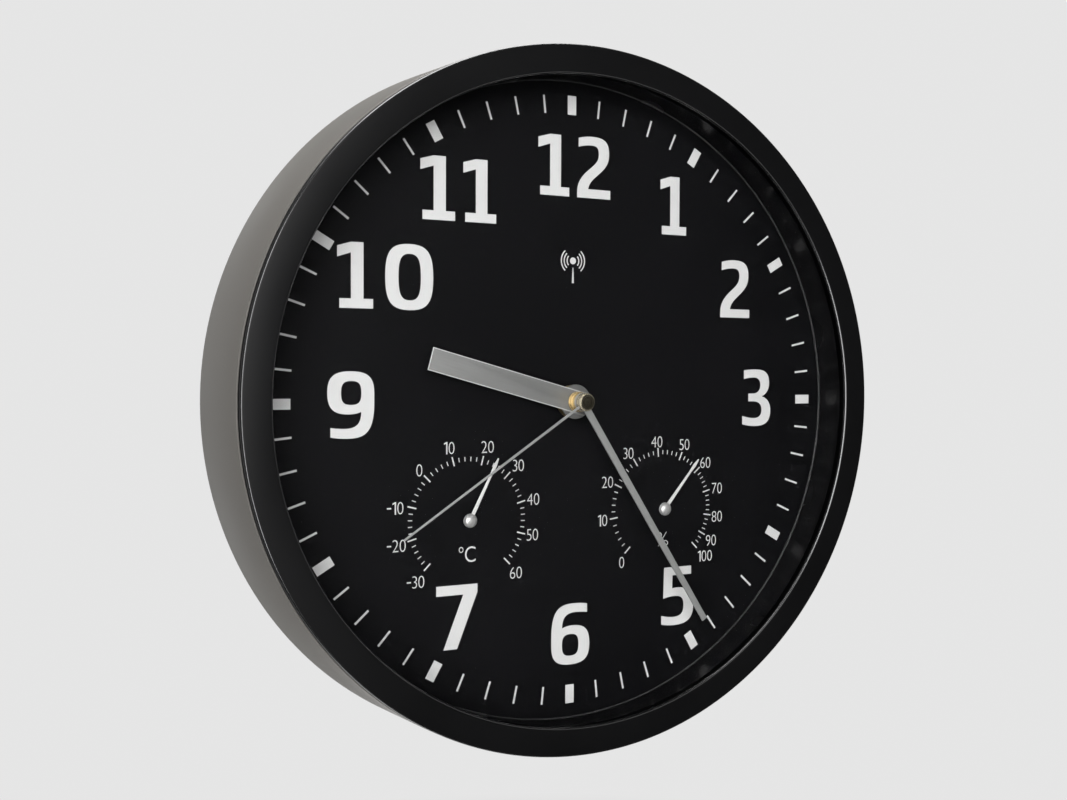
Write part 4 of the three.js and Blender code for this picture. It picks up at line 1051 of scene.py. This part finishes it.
class CLOCK_OT_case(bpy.types.Operator):
    """Models the case ring, the bezel, the front panel and the inner wall"""

    bl_idname = "clock.case"
    bl_label = "Case"

    def execute(self, context):
        case = context.scene.clock_case
        self.ring(case)
        self.bezel(case)
        self.panel(case)
        self.wall(case)
        return {"FINISHED"}

    def ring(self, case):
        """A tapering shell with a ledge for the dial and one for the back cover"""
        front, back = span("case_ring")
        back_radius = reach("case_ring")
        front_radius = reach("front_bezel") + BEZEL_STEP
        dial_seat = span("dial_plate")[1] + PIECE_GAP
        cover_seat = span("back_cover")[0] - PIECE_GAP
        back_edge, inner_edge, ledge_edge, front_edge = 0.5 * MM, 0.4 * MM, 0.2 * MM, 0.3 * MM

        def outer(level):
            return front_radius + (back_radius - front_radius) * (level - front) / (back - front)

        def inner(level):
            return outer(level) - CASE_WALL

        dial_back = dial_seat + LEDGE_THICKNESS
        cover_front = cover_seat - LEDGE_THICKNESS
        dial_edge = inner(dial_seat) - DIAL_LEDGE_WIDTH
        cover_edge = inner(cover_seat) - COVER_LEDGE_WIDTH
        corners = [
            (outer(back), back, back_edge),
            (inner(back), back, inner_edge),
            (inner(cover_seat), cover_seat),
            (cover_edge, cover_seat, ledge_edge),
            (cover_edge, cover_front, ledge_edge),
            (inner(cover_front), cover_front),
            (inner(dial_back), dial_back),
            (dial_edge, dial_back, ledge_edge),
            (dial_edge, dial_seat, ledge_edge),
            (inner(dial_seat), dial_seat),
            (inner(front), front, front_edge),
            (outer(front), front, front_edge),
        ]
        piece = turned("Outer_ring", corners, case.ring_steps)
        lacquer = grained(
            "Outer lacquer", case.lacquer, 0.38, grain=5200.0, bump=0.1, cloud=14.0, contrast=0.04
        )
        finish(piece, lacquer, "case", "case_grey", "case_ring")

    def bezel(self, case):
        front, back = span("front_bezel")
        rim = reach("front_bezel")
        lip_back = span("front_glass")[0] - PIECE_GAP
        side_edge, lip_back_edge, spigot_edge = 0.4 * MM, 0.15 * MM, 0.3 * MM
        corners = [
            (rim, BEZEL_SIDE_Y, side_edge),
            (rim, front, case.edge_round),
            (BEZEL_OPENING_RADIUS, front, case.lip_round),
            (BEZEL_OPENING_RADIUS, lip_back, lip_back_edge),
            (SPIGOT_INNER_RADIUS, lip_back),
            (SPIGOT_INNER_RADIUS, back, spigot_edge),
            (SPIGOT_OUTER_RADIUS, back, spigot_edge),
            (SPIGOT_OUTER_RADIUS, BEZEL_SIDE_Y),
        ]
        piece = turned("Bezel", corners, case.ring_steps, round_steps=6)
        finish(piece, bezel_black("Bezel black"), "case", "black_gloss", "front_bezel")

    def panel(self, case):
        front, back = span("front_glass")
        edge = reach("front_glass")
        chamfer = 0.3 * MM
        corners = [
            (0, front), (edge - chamfer, front), (edge, front + chamfer), (edge, back - chamfer),
            (edge - chamfer, back), (0, back),
        ]
        piece = turned("Front_panel", corners, case.ring_steps, closed=False)
        finish(piece, clear_glass("Front panel"), "case", "glass", "front_glass")

    def wall(self, case):
        """The wall between the dial and the panel, with a bead at its foot"""
        front, back = span("spacer_ring")
        outside = reach("spacer_ring")
        bead_front = back - WALL_BEAD_HEIGHT
        front_edge, outer_edge, foot_edge, bead_edge = 0.3 * MM, 0.2 * MM, 0.1 * MM, 0.25 * MM
        corners = [
            (SPACER_INNER_RADIUS, front, front_edge), (outside, front, outer_edge),
            (outside, back, outer_edge), (WALL_BEAD_RADIUS, back, foot_edge),
            (WALL_BEAD_RADIUS, bead_front, bead_edge), (SPACER_INNER_RADIUS, bead_front, bead_edge),
        ]
        piece = turned("Inner_wall", corners, case.ring_steps)
        finish(piece, wall_black("Wall black"), "case", "black_gloss", "spacer_ring")


class CLOCK_OT_dial(bpy.types.Operator):
    """Models the dial with its holes and the track of hour and minute marks"""

    bl_idname = "clock.dial"
    bl_label = "Dial and minute track"

    def execute(self, context):
        dial = context.scene.clock_dial
        self.plate(dial, context.scene.clock_case.ring_steps)
        self.track(dial)
        return {"FINISHED"}

    def plate(self, dial, steps):
        front, back = span("dial_plate")
        radius = reach("dial_plate")
        hole_edge, rim_edge = 0.1 * MM, 0.15 * MM
        corners = [
            (DIAL_HOLE_RADIUS, front, hole_edge), (radius, front, rim_edge),
            (radius, back, rim_edge), (DIAL_HOLE_RADIUS, back, hole_edge),
        ]
        piece = turned("Dial", corners, steps)
        past = (front - MM, back + MM)
        cut(piece, [round_cutter(SHAFT_HOLE_RADIUS, x, GAUGE_Z, *past) for x in (-GAUGE_X, GAUGE_X)])
        ground = grained(
            "Dial ground", dial.ground, 0.58, grain=6000.0, bump=0.02, cloud=10.0, contrast=0.12,
            specular=0.08,
        )
        finish(piece, ground, "case", "black_satin", "dial_plate")

    def track(self, dial):
        hour = self.mark(dial, dial.hour_mark)
        minute = self.mark(dial, dial.minute_mark)
        marks = []
        for count in range(60):
            model = minute if count % 5 else hour
            marks.append(copy_of(model, "Mark", turn=(0, math.radians(360 / 60 * count), 0)))
        for model in (hour, minute):
            bpy.data.objects.remove(model, do_unlink=True)
        finish_print("Minute_track", marks)

    def mark(self, dial, size):
        """One mark at 12"""
        front = span("dial_plate")[0]
        half_width, half_length = size[0] / 2, size[1] / 2
        return block(
            -half_width, half_width, dial.track_radius - half_length, dial.track_radius + half_length,
            front - dial.ink_height, front, corner=0.03 * MM, steps=1,
        )


class CLOCK_OT_numerals(bpy.types.Operator):
    """Prints the hour numerals on the dial"""

    bl_idname = "clock.numerals"
    bl_label = "Numerals"

    def execute(self, context):
        height = context.scene.clock_dial.numeral_height
        finish_print("Numerals", [self.numeral(height, *place) for place in NUMERAL_PLACES])
        return {"FINISHED"}

    def numeral(self, height, digit, left, right, foot):
        """One numeral in its place; the nine is the six turned over"""
        turned_over = digit == "9"
        shapes = [path_points(shape) for shape in NUMERALS["6" if turned_over else digit]]
        across = [spot[1][0] for shape in shapes for spot in shape]
        low = min(across)
        width = (right - left) * MM
        wide = width / (max(across) - low)
        tall = height / NUMERAL_UNITS

        def placed(point):
            x, z = (point[0] - low) * wide, point[1] * tall
            if turned_over:
                x, z = width - x, height - z
            return (left * MM + x, foot * MM + z)

        return printed("Numeral", [[tuple(placed(p) for p in spot) for spot in shape] for shape in shapes])


class CLOCK_OT_signal_mark(bpy.types.Operator):
    """Prints the small sign for the radio signal: a dot, three arcs a side and a mast"""

    bl_idname = "clock.signal_mark"
    bl_label = "Signal mark"

    def execute(self, context):
        x, z = 0.8 * MM, 60.0 * MM
        dot_radius, half_line = 1.45 * MM, 0.25
        top, foot = z - 2.9 * MM, z - 9.5 * MM
        top_half, foot_half = 0.18 * MM, 0.5 * MM
        outlines = [circle(dot_radius, steps=30, x=x, z=z)]
        for radius, spread in ((2.85, 42), (4.25, 46), (5.65, 48)):
            for side in (90, 270):
                outer = arc(x, z, (radius + half_line) * MM, side - spread, side + spread, steps=20)
                inner = arc(x, z, (radius - half_line) * MM, side + spread, side - spread, steps=20)
                outlines.append(outer + inner)
        mast = [(x - top_half, top), (x + top_half, top), (x + foot_half, foot), (x - foot_half, foot)]
        outlines.append(mast)
        finish_print("Signal_mark", [printed("Signal", outlines)])
        return {"FINISHED"}


class CLOCK_OT_gauges(bpy.types.Operator):
    """Prints the scales of the thermometer and the hygrometer and models their pointers and caps"""

    bl_idname = "clock.gauges"
    bl_label = "Gauges"

    def execute(self, context):
        steps = context.scene.clock_case.small_steps
        self.scale("thermometer", THERMOMETER_SCALE)
        self.scale("hygrometer", HYGROMETER_SCALE)
        self.pointer("thermometer", -GAUGE_X, THERMOMETER_ANGLE, steps)
        self.pointer("hygrometer", GAUGE_X, HYGROMETER_ANGLE, steps)
        return {"FINISHED"}

    def scale(self, name, scale):
        """One scale: long marks with labels, short marks between them and the sign of the unit"""
        x, z, radius = (size * MM for size in scale["ring"])
        long_mark, short_mark = (3.9 * MM, 0.56 * MM), (1.8 * MM, 0.37 * MM)
        label_height, sign_height = 5.0 * MM, 6.4 * MM
        angles = scale["angles"]
        outlines = []
        for start, end, parts in zip(angles, angles[1:], scale["parts"]):
            for part in range(parts):
                size = short_mark if part else long_mark
                outlines.append(self.mark(x, z, radius, start + (end - start) * part / parts, size))
        outlines.append(self.mark(x, z, radius, angles[-1], long_mark))
        prints = [printed("Scale", outlines)]
        for label in scale["labels"]:
            prints += self.label(*label, label_height)
        prints += self.label(*scale["sign"], sign_height)
        finish_print(name.title() + "_scale", prints)

    def mark(self, x, z, radius, angle, size):
        low, high = radius - size[0] / 2, radius + size[0] / 2
        half = size[1] / 2
        return clock_turn([(-half, low), (half, low), (half, high), (-half, high)], angle, x, z)

    def label(self, text, x, z, height):
        """A small label, character by character, centred on its digits at (x, z) in millimetres"""
        gap = 0.11 * height
        signs = [self.sign(sign, height) for sign in text]
        widths = [piece.dimensions.x for piece in signs]
        lead = widths[0] + gap if text[0] == "-" else 0
        left = x * MM - (sum(widths) + gap * (len(text) - 1) - lead) / 2 - lead
        for sign, piece, wide in zip(text, signs, widths):
            low = min(v.co.x for v in piece.data.vertices)
            heights = [v.co.z for v in piece.data.vertices]
            rise = -(min(heights) + max(heights)) / 2
            rise = {"-": 0, "°": height / 2 - max(heights)}.get(sign, rise)
            settle(piece, (left - low, 0, z * MM + rise))
            left += wide + gap
        return signs

    def sign(self, sign, height):
        """One character at the origin: the figure one and the minus are drawn, the rest is set in type"""
        if sign in DRAWN_SIGNS:
            return printed("Figure", [[(x * height, z * height) for x, z in DRAWN_SIGNS[sign]]])
        figure_share = 0.68
        thinning = 0.012 if sign in "°C" else 0.024
        thickness = bpy.context.scene.clock_dial.ink_height
        start_piece()
        bpy.ops.object.text_add(location=(0, 0, 0))
        piece = bpy.context.object
        piece.data.body = sign
        piece.data.size = height / figure_share
        piece.data.offset = -thinning * height
        piece.data.resolution_u = 5
        piece.data.extrude = thickness / 2
        piece.scale.x = 1.08 if sign == "%" else 0.85
        return stand_up(piece, span("dial_plate")[0] - thickness / 2)

    def pointer(self, name, x, angle, steps):
        """A pointer with a broad point, under a domed cap"""
        front, back = span(name + "_pointer")
        hub, root = 2.9 * MM, 0.8 * MM
        side = [(0.25 * MM, 28.2 * MM), (0.75 * MM, 24.8 * MM), (0.5 * MM, 21 * MM)]
        other_side = [(-across, up) for across, up in reversed(side)]
        meet = math.degrees(math.asin(root / hub))
        outline = arc(0, 0, hub, meet, 360 - meet, steps=40) + other_side + side
        title = name.title()
        blade = flat_curve(title + "_pointer", [clock_turn(outline, angle, x, GAUGE_Z)], front, back)
        break_edges(blade, 0.08 * MM)
        finish(blade, blade_lacquer(), name, "pointer", name + "_pointer")
        cap_front, cap_back = span(name + "_hub_cap")
        tall = cap_back - cap_front
        turns = [math.pi / 2 * i / DOME_STEPS for i in range(DOME_STEPS + 1)]
        corners = [(hub * math.sin(a), cap_back - tall * math.cos(a)) for a in turns] + [(0, cap_back)]
        cap = turned(title + "_cap", corners, steps, closed=False, centre=(x, 0, GAUGE_Z))
        finish(cap, pointer_lacquer(), name, "pointer", name + "_hub_cap")


class CLOCK_OT_hands(bpy.types.Operator):
    """Models the three hands and their turned collets"""

    bl_idname = "clock.hands"
    bl_label = "Hands"

    def execute(self, context):
        hands = context.scene.clock_hands
        steps = context.scene.clock_case.small_steps
        self.hour_hand(hands)
        self.minute_hand(hands)
        self.second_hand()
        self.minute_collet(hands, steps)
        self.second_collet(hands, steps)
        return {"FINISHED"}

    def hour_hand(self, hands):
        """A straight blade with a round end, fixed on a thinner boss plate"""
        front, back = span("hour_hand")
        step = front + 0.5 * MM
        half, length, boss_radius = 4.7 * MM, 68.8 * MM, 7.3 * MM
        hole = circle(HOUR_BORE_RADIUS, BORE_STEPS)
        outline = arc(0, 0, half, 90, 270, steps=40) + [(-half, length), (half, length)]
        blade = flat_curve("Blade", [clock_turn(outline, HOUR_ANGLE), hole], front, step)
        break_edges(blade, hands.edge)
        boss = flat_curve("Boss", [circle(boss_radius, 2 * BORE_STEPS), hole], step, back)
        break_edges(boss, 0.1 * MM)
        metal = hand_metal("Hour hand metal", HOUR_ANGLE)
        self.paint_edge_light_and_shade(hands, metal, step, half, length)
        finish(join("Hour_hand", [blade, boss]), metal, "hours", "hand_silver", "hour_hand")

    def paint_edge_light_and_shade(self, hands, metal, step, half, length):
        """Paints highlights on the blade's edges and its end and paints shade on the boss plate under the
        blade
        """
        core, edge = 0.2 * MM, 0.45 * MM
        tree = metal.node_tree
        mapped = next(n for n in tree.nodes if n.type == "MAPPING")
        parts = node(tree, "SeparateXYZ", Vector=mapped.outputs["Vector"]).outputs
        side = band(tree, maths(tree, "ABSOLUTE", parts["X"]), half, core, edge)
        end = band(tree, parts["Z"], length, core, edge)
        # Painted highlight: the blade's edges and end are three times lighter
        overlay(metal, maths(tree, "MAXIMUM", side, end), "Base Color", shade(hands.silver, 3.0))
        # Painted shade: the boss plate under the blade is darker
        under = ramp(tree, parts["Y"], step - 0.05 * MM, step + 0.02 * MM)
        overlay(metal, under, "Base Color", shade(hands.silver, 0.6))

    def minute_hand(self, hands):
        """A long blade that narrows towards its end, on a round boss"""
        front, back = span("minute_hand")
        length, root, tip, boss_radius = 116 * MM, 3.1 * MM, 2.7 * MM, 3.9 * MM
        meet = math.degrees(math.asin(root / 2 / boss_radius))
        outline = arc(0, 0, boss_radius, meet, 360 - meet, steps=60)
        outline += [(-tip / 2, length), (tip / 2, length)]
        hole = circle(MINUTE_BORE_RADIUS, BORE_STEPS)
        piece = flat_curve("Minute_hand", [clock_turn(outline, MINUTE_ANGLE), hole], front, back)
        break_edges(piece, hands.edge)
        # The minute hand's silver is painted 1.6 times lighter: painted light on a copy of the same silver
        metal = hand_metal("Minute hand metal", MINUTE_ANGLE, 1.6)
        finish(piece, metal, "minutes", "hand_silver", "minute_hand")

    def second_hand(self):
        """A needle that starts in its collet"""
        front, back = span("second_hand")
        root, tip, start, length = 0.55 * MM, 0.4 * MM, 0.95 * MM, 96.5 * MM
        outline = [(-root, start), (root, start), (tip, length), (-tip, length)]
        piece = flat_curve("Second_hand", [clock_turn(outline, SECOND_ANGLE)], front, back)
        break_edges(piece, 0.1 * MM)
        # The second hand's silver is painted 1.75 times lighter: painted light on a copy of the same silver
        metal = hand_metal("Second hand metal", SECOND_ANGLE, 1.75)
        finish(piece, metal, "seconds", "hand_silver", "second_hand")

    def minute_collet(self, hands, steps):
        """A brass collet with two grooves"""
        front, back = span("minute_collet")
        fifth = (back - front) / 5
        wide = reach("minute_collet")
        narrow = wide - 0.35 * MM
        edge = 0.08 * MM
        corners = [
            (MINUTE_BORE_RADIUS, back), (wide, back, edge), (wide, back - fifth, edge),
            (narrow, back - fifth), (narrow, back - 2 * fifth), (wide, back - 2 * fifth, edge),
            (wide, back - 3 * fifth, edge), (narrow, back - 3 * fifth), (narrow, front, edge),
            (MINUTE_BORE_RADIUS, front),
        ]
        piece = turned("Minute_collet", corners, steps, round_steps=2)
        brass = lathe_turned("Turned brass", hands.brass, 0.25, metallic=0.65)
        finish(piece, brass, "minutes", "brass", "minute_collet")

    def second_collet(self, hands, steps):
        """A plated collet, closed at the front and slotted for the needle; its front face is painted darker
        as painted shade
        """
        front, back = span("second_collet")
        wide = reach("second_collet")
        face, shoulder = wide - 0.7 * MM, front + 0.8 * MM
        corners = [
            (0, front), (face, front, 0.15 * MM), (wide, shoulder, 0.3 * MM), (wide, back, 0.12 * MM),
            (SECOND_BORE_RADIUS, back), (SECOND_BORE_RADIUS, shoulder), (0, shoulder),
        ]
        piece = turned("Second_collet", corners, steps, closed=False)
        level = sum(span("second_hand")) / 2
        slot_half, slot_depth = 0.65 * MM, 0.35 * MM
        slot = block(-slot_half, slot_half, 0, wide + MM, level - slot_depth, level + slot_depth)
        cut(piece, [settle(slot, turn=(0, math.radians(SECOND_ANGLE), 0))])
        plated = lathe_turned("Plated collet", hands.collet, 0.25)
        tree = plated.node_tree
        # Painted shade: the front face is darker and more metallic
        end = band(tree, axis_distance(tree)[1], front, 0.03 * MM, 0.1 * MM)
        overlay(plated, end, "Base Color", shade(hands.collet, 0.4))
        dress(plated, Metallic=between(tree, end, 0.75, 1.0))
        finish(piece, plated, "seconds", "brass", "second_collet")


class CLOCK_OT_back_cover(bpy.types.Operator):
    """Models the back cover with its keyhole, vents and screws"""

    bl_idname = "clock.back_cover"
    bl_label = "Back cover"

    def execute(self, context):
        case = context.scene.clock_case
        self.plate(case.ring_steps)
        self.screws(case.small_steps)
        return {"FINISHED"}

    def plate(self, steps):
        front, back = span("back_cover")
        radius = reach("back_cover")
        chamfer = 0.4 * MM
        corners = [(0, front), (radius, front), (radius, back - chamfer), (radius - chamfer, back), (0, back)]
        piece = turned("Back_cover", corners, steps, closed=False)
        past = (front - 2 * MM, back + 2 * MM)
        low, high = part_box("movement_rear")
        margin = 1.5 * MM
        mouth_radius, neck_half, screw_hole_radius = 5 * MM, 2.5 * MM, 1.3 * MM
        holes = [
            block(low.x - margin, high.x + margin, low.z - margin, high.z + margin, *past, corner=4.5 * MM),
            round_cutter(mouth_radius, 0, KEYHOLE_Z, *past),
        ]
        for name in COVER_SCREWS:
            centre = middle(name)
            holes.append(round_cutter(screw_hole_radius, centre.x, centre.z, *past, steps=24))
        holes += [self.vent(side * GAUGE_X, row, past) for side in (-1, 1) for row in range(-2, 3)]
        neck = block(-neck_half, neck_half, KEYHOLE_Z, KEYHOLE_NECK_TOP_Z, *past)
        neck_end = round_cutter(neck_half, 0, KEYHOLE_NECK_TOP_Z, *past)
        cut(piece, holes, [neck], [neck_end])
        finish(piece, satin_black(), "case", "black_satin", "back_cover")

    def vent(self, x, row, past):
        """A slot with round ends behind a gauge"""
        half_width, half_height, pitch = 12 * MM, 1.2 * MM, 6
        z = GAUGE_Z + row * pitch * MM
        return block(
            x - half_width, x + half_width, z - half_height, z + half_height, *past, corner=1.1 * MM, steps=4
        )

    def screws(self, steps):
        """Cross-head screws, all alike"""
        tip, head_back = span(COVER_SCREWS[0])
        head_radius, core_radius, head_front = 2.9 * MM, 1.1 * MM, head_back - 1.8 * MM
        corners = [
            (0, head_back), (head_radius, head_back, 0.7 * MM), (head_radius, head_front, 0.1 * MM),
            (core_radius, head_front), (core_radius, tip + MM), (0, tip),
        ]
        model = turned("Screw", corners, steps, closed=False)
        long, short = 1.9 * MM, 0.4 * MM
        depth = (head_back - 0.9 * MM, head_back + MM)
        cut(model, [block(-long, long, -short, short, *depth)], [block(-short, short, -long, long, *depth)])
        for name in COVER_SCREWS:
            centre = middle(name)
            twin = copy_of(model, name.capitalize(), (centre.x, 0, centre.z))
            finish(twin, bright_steel(), "case", "steel", name)
        bpy.data.objects.remove(model, do_unlink=True)


class CLOCK_OT_movement(bpy.types.Operator):
    """Models what shows of the movement from behind: housing, buttons, cell and contacts"""

    bl_idname = "clock.movement"
    bl_label = "Movement"

    def execute(self, context):
        steps = context.scene.clock_case.small_steps
        housing = solid_copy("movement_rear", "Movement_housing")
        break_edges(housing, 0.25 * MM)
        apply_modifier(housing, "WEIGHTED_NORMAL", keep_sharp=True)
        finish(housing, satin_black(), "case", "black_satin", "movement_rear")
        for name in ("set_button", "receive_button", "reset_button"):
            self.button(name, steps)
        self.cell(steps)
        self.spring()
        return {"FINISHED"}

    def button(self, name, steps):
        """A round button on a flange that stops a hair short of the switch that it presses"""
        front, back = span(name)
        centre = middle(name)
        radius, flange_radius = 2 * MM, 3 * MM
        flange_back, flange_front = front + MM, front + BUTTON_SWITCH_ROOM
        corners = [
            (0, back), (radius, back, 0.35 * MM), (radius, flange_back),
            (flange_radius, flange_back), (flange_radius, flange_front, 0.1 * MM),
            (0, flange_front),
        ]
        piece = turned(name.title(), corners, steps, closed=False, centre=(centre.x, 0, centre.z))
        finish(piece, white_moulding(), name, "white_plastic", name)

    def cell(self, steps):
        """A round cell with a stepped negative end and a positive pip"""
        low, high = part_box("battery_cell")
        radius = (high.y - low.y) / 2
        base_radius, pip_radius = radius - 0.6 * MM, 2.7 * MM
        jacket_start, shoulder = low.x + 0.5 * MM, high.x - 1.2 * MM
        jacket_end = shoulder - 0.4 * MM
        corners = [
            (0, low.x), (base_radius, low.x, 0.2 * MM), (base_radius, jacket_start),
            (radius, jacket_start, 0.4 * MM), (radius, jacket_end, 0.6 * MM),
            (radius - 0.8 * MM, jacket_end), (radius - 0.9 * MM, shoulder, 0.2 * MM),
            (pip_radius, shoulder), (pip_radius, high.x, 0.3 * MM), (0, high.x),
        ]
        centre = middle("battery_cell")
        centre.x = 0
        piece = turned("Battery_cell", corners, steps, closed=False, along="X", centre=centre)
        finish(piece, cell_jacket("Cell jacket"), "case", "cell_jacket", "battery_cell")

    def spring(self):
        """The negative contact: a plate with a coiled spring"""
        low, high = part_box("negative_contact")
        centre = middle("negative_contact")
        wire, plate_back = 0.35 * MM, low.x + 0.4 * MM
        wide_end, narrowing = 2.6 * MM, 0.9 * MM
        turns, turn_steps = 4.5, 20
        plate = block(low.x, plate_back, low.z, high.z, low.y, high.y)
        break_edges(plate, 0.1 * MM)
        curve = bpy.data.curves.new("Spring", "CURVE")
        curve.dimensions = "3D"
        curve.bevel_depth = wire
        curve.bevel_resolution = 2
        curve.use_fill_caps = True
        spline = curve.splines.new("POLY")
        count = int(turns * turn_steps)
        spline.points.add(count)
        start, end = plate_back + wire, high.x - wire
        for i, point in enumerate(spline.points):
            share = i / count
            radius = wide_end - narrowing * share
            angle = TAU * turns * share
            y, z = centre.y + radius * math.cos(angle), centre.z + radius * math.sin(angle)
            point.co = (start + (end - start) * share, y, z, 1)
        coil = bpy.data.objects.new("Spring", curve)
        bpy.context.scene.collection.objects.link(coil)
        choose(coil)
        bpy.ops.object.convert(target="MESH")
        coil = smooth(bpy.context.object, 60)
        finish(join("Negative_contact", [plate, coil]), bright_steel(), "case", "steel", "negative_contact")


class CLOCK_OT_inner_finishes(bpy.types.Operator):
    """Finishes the solids that show as they are: the works inside the movement and the gauges"""

    bl_idname = "clock.inner_finishes"
    bl_label = "Inner finishes"

    def execute(self, context):
        brass = bpy.data.materials["Turned brass"]
        dull = lathe_turned("Dull brass", (0.22, 0.17, 0.09), 0.45)
        rubber = grained("Gasket rubber", (0.02, 0.02, 0.02), 0.85, grain=1200.0, bump=0.4)
        nylon = grained("Gear nylon", (0.75, 0.73, 0.66), 0.4, grain=2200.0, bump=0.1)
        green = (0.015, 0.1, 0.035)
        board = grained("Board resist", green, 0.35, grain=900.0, bump=0.2, cloud=120.0, contrast=0.2)
        chip = grained("Chip resin", (0.012, 0.012, 0.012), 0.3, grain=1400.0, bump=0.2)
        ferrite = grained("Ferrite", (0.03, 0.03, 0.033), 0.7, grain=1800.0, bump=0.4)
        strip = lined("Gauge strip", (0.55, 0.36, 0.2), 0.35, (2000, 60, 2000))
        winding = wound("Copper winding", (0.5, 0.2, 0.08))
        finishes = {
            brass: ["thermometer_shaft", "hygrometer_shaft"],
            dull: ["centre_bushing", "dial_washer", "dial_nut"],
            rubber: ["dial_gasket"],
            nylon: [
                "gear_plate", "seconds_wheel", "minute_wheel", "hour_wheel", "motion_wheel",
                "seconds_idler", "time_idler",
            ],
            bright_steel(): [
                "seconds_rotor", "time_rotor", "seconds_stator", "time_stator", "quartz_crystal",
                "positive_contact",
            ],
            winding: ["seconds_motor_coil", "time_motor_coil", "aerial_coil"],
            strip: ["thermometer_coil", "hygrometer_coil"],
            white_moulding(): ["thermometer_cup", "hygrometer_cup"],
            satin_black(): ["movement_front"],
            board: ["circuit_board"],
            chip: ["control_chip"],
            ferrite: ["aerial_rod"],
        }
        for material, names in finishes.items():
            for name in names:
                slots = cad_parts[name].data.materials
                slots.clear()
                slots.append(material)
        return {"FINISHED"}


class CLOCK_PT_panel(bpy.types.Panel):
    """Lists the steps that build the clock"""

    bl_idname = "CLOCK_PT_panel"
    bl_label = "Wall clock"
    bl_space_type = "VIEW_3D"
    bl_region_type = "UI"
    bl_category = "Clock"

    def draw(self, context):
        for operator in OPERATORS:
            self.layout.operator(operator.bl_idname)


OPERATORS = (
    CLOCK_OT_stage,
    CLOCK_OT_case,
    CLOCK_OT_dial,
    CLOCK_OT_numerals,
    CLOCK_OT_signal_mark,
    CLOCK_OT_gauges,
    CLOCK_OT_hands,
    CLOCK_OT_back_cover,
    CLOCK_OT_movement,
    CLOCK_OT_inner_finishes,
)
SETTINGS = {
    "clock_case": ClockCaseSettings,
    "clock_dial": ClockDialSettings,
    "clock_hands": ClockHandSettings,
    "clock_stage": ClockStageSettings,
}


def register():
    for name, settings in SETTINGS.items():
        bpy.utils.register_class(settings)
        setattr(bpy.types.Scene, name, bpy.props.PointerProperty(type=settings))
    for operator in OPERATORS:
        bpy.utils.register_class(operator)
    bpy.utils.register_class(CLOCK_PT_panel)


def unregister():
    bpy.utils.unregister_class(CLOCK_PT_panel)
    for operator in reversed(OPERATORS):
        bpy.utils.unregister_class(operator)
    for name, settings in reversed(SETTINGS.items()):
        delattr(bpy.types.Scene, name)
        bpy.utils.unregister_class(settings)


def main():
    register()
    bpy.ops.clock.stage()
    bpy.ops.clock.case()
    bpy.ops.clock.dial()
    bpy.ops.clock.numerals()
    bpy.ops.clock.signal_mark()
    bpy.ops.clock.gauges()
    bpy.ops.clock.hands()
    bpy.ops.clock.back_cover()
    bpy.ops.clock.movement()
    bpy.ops.clock.inner_finishes()
    start_piece()


if __name__ == "__main__":
    main()
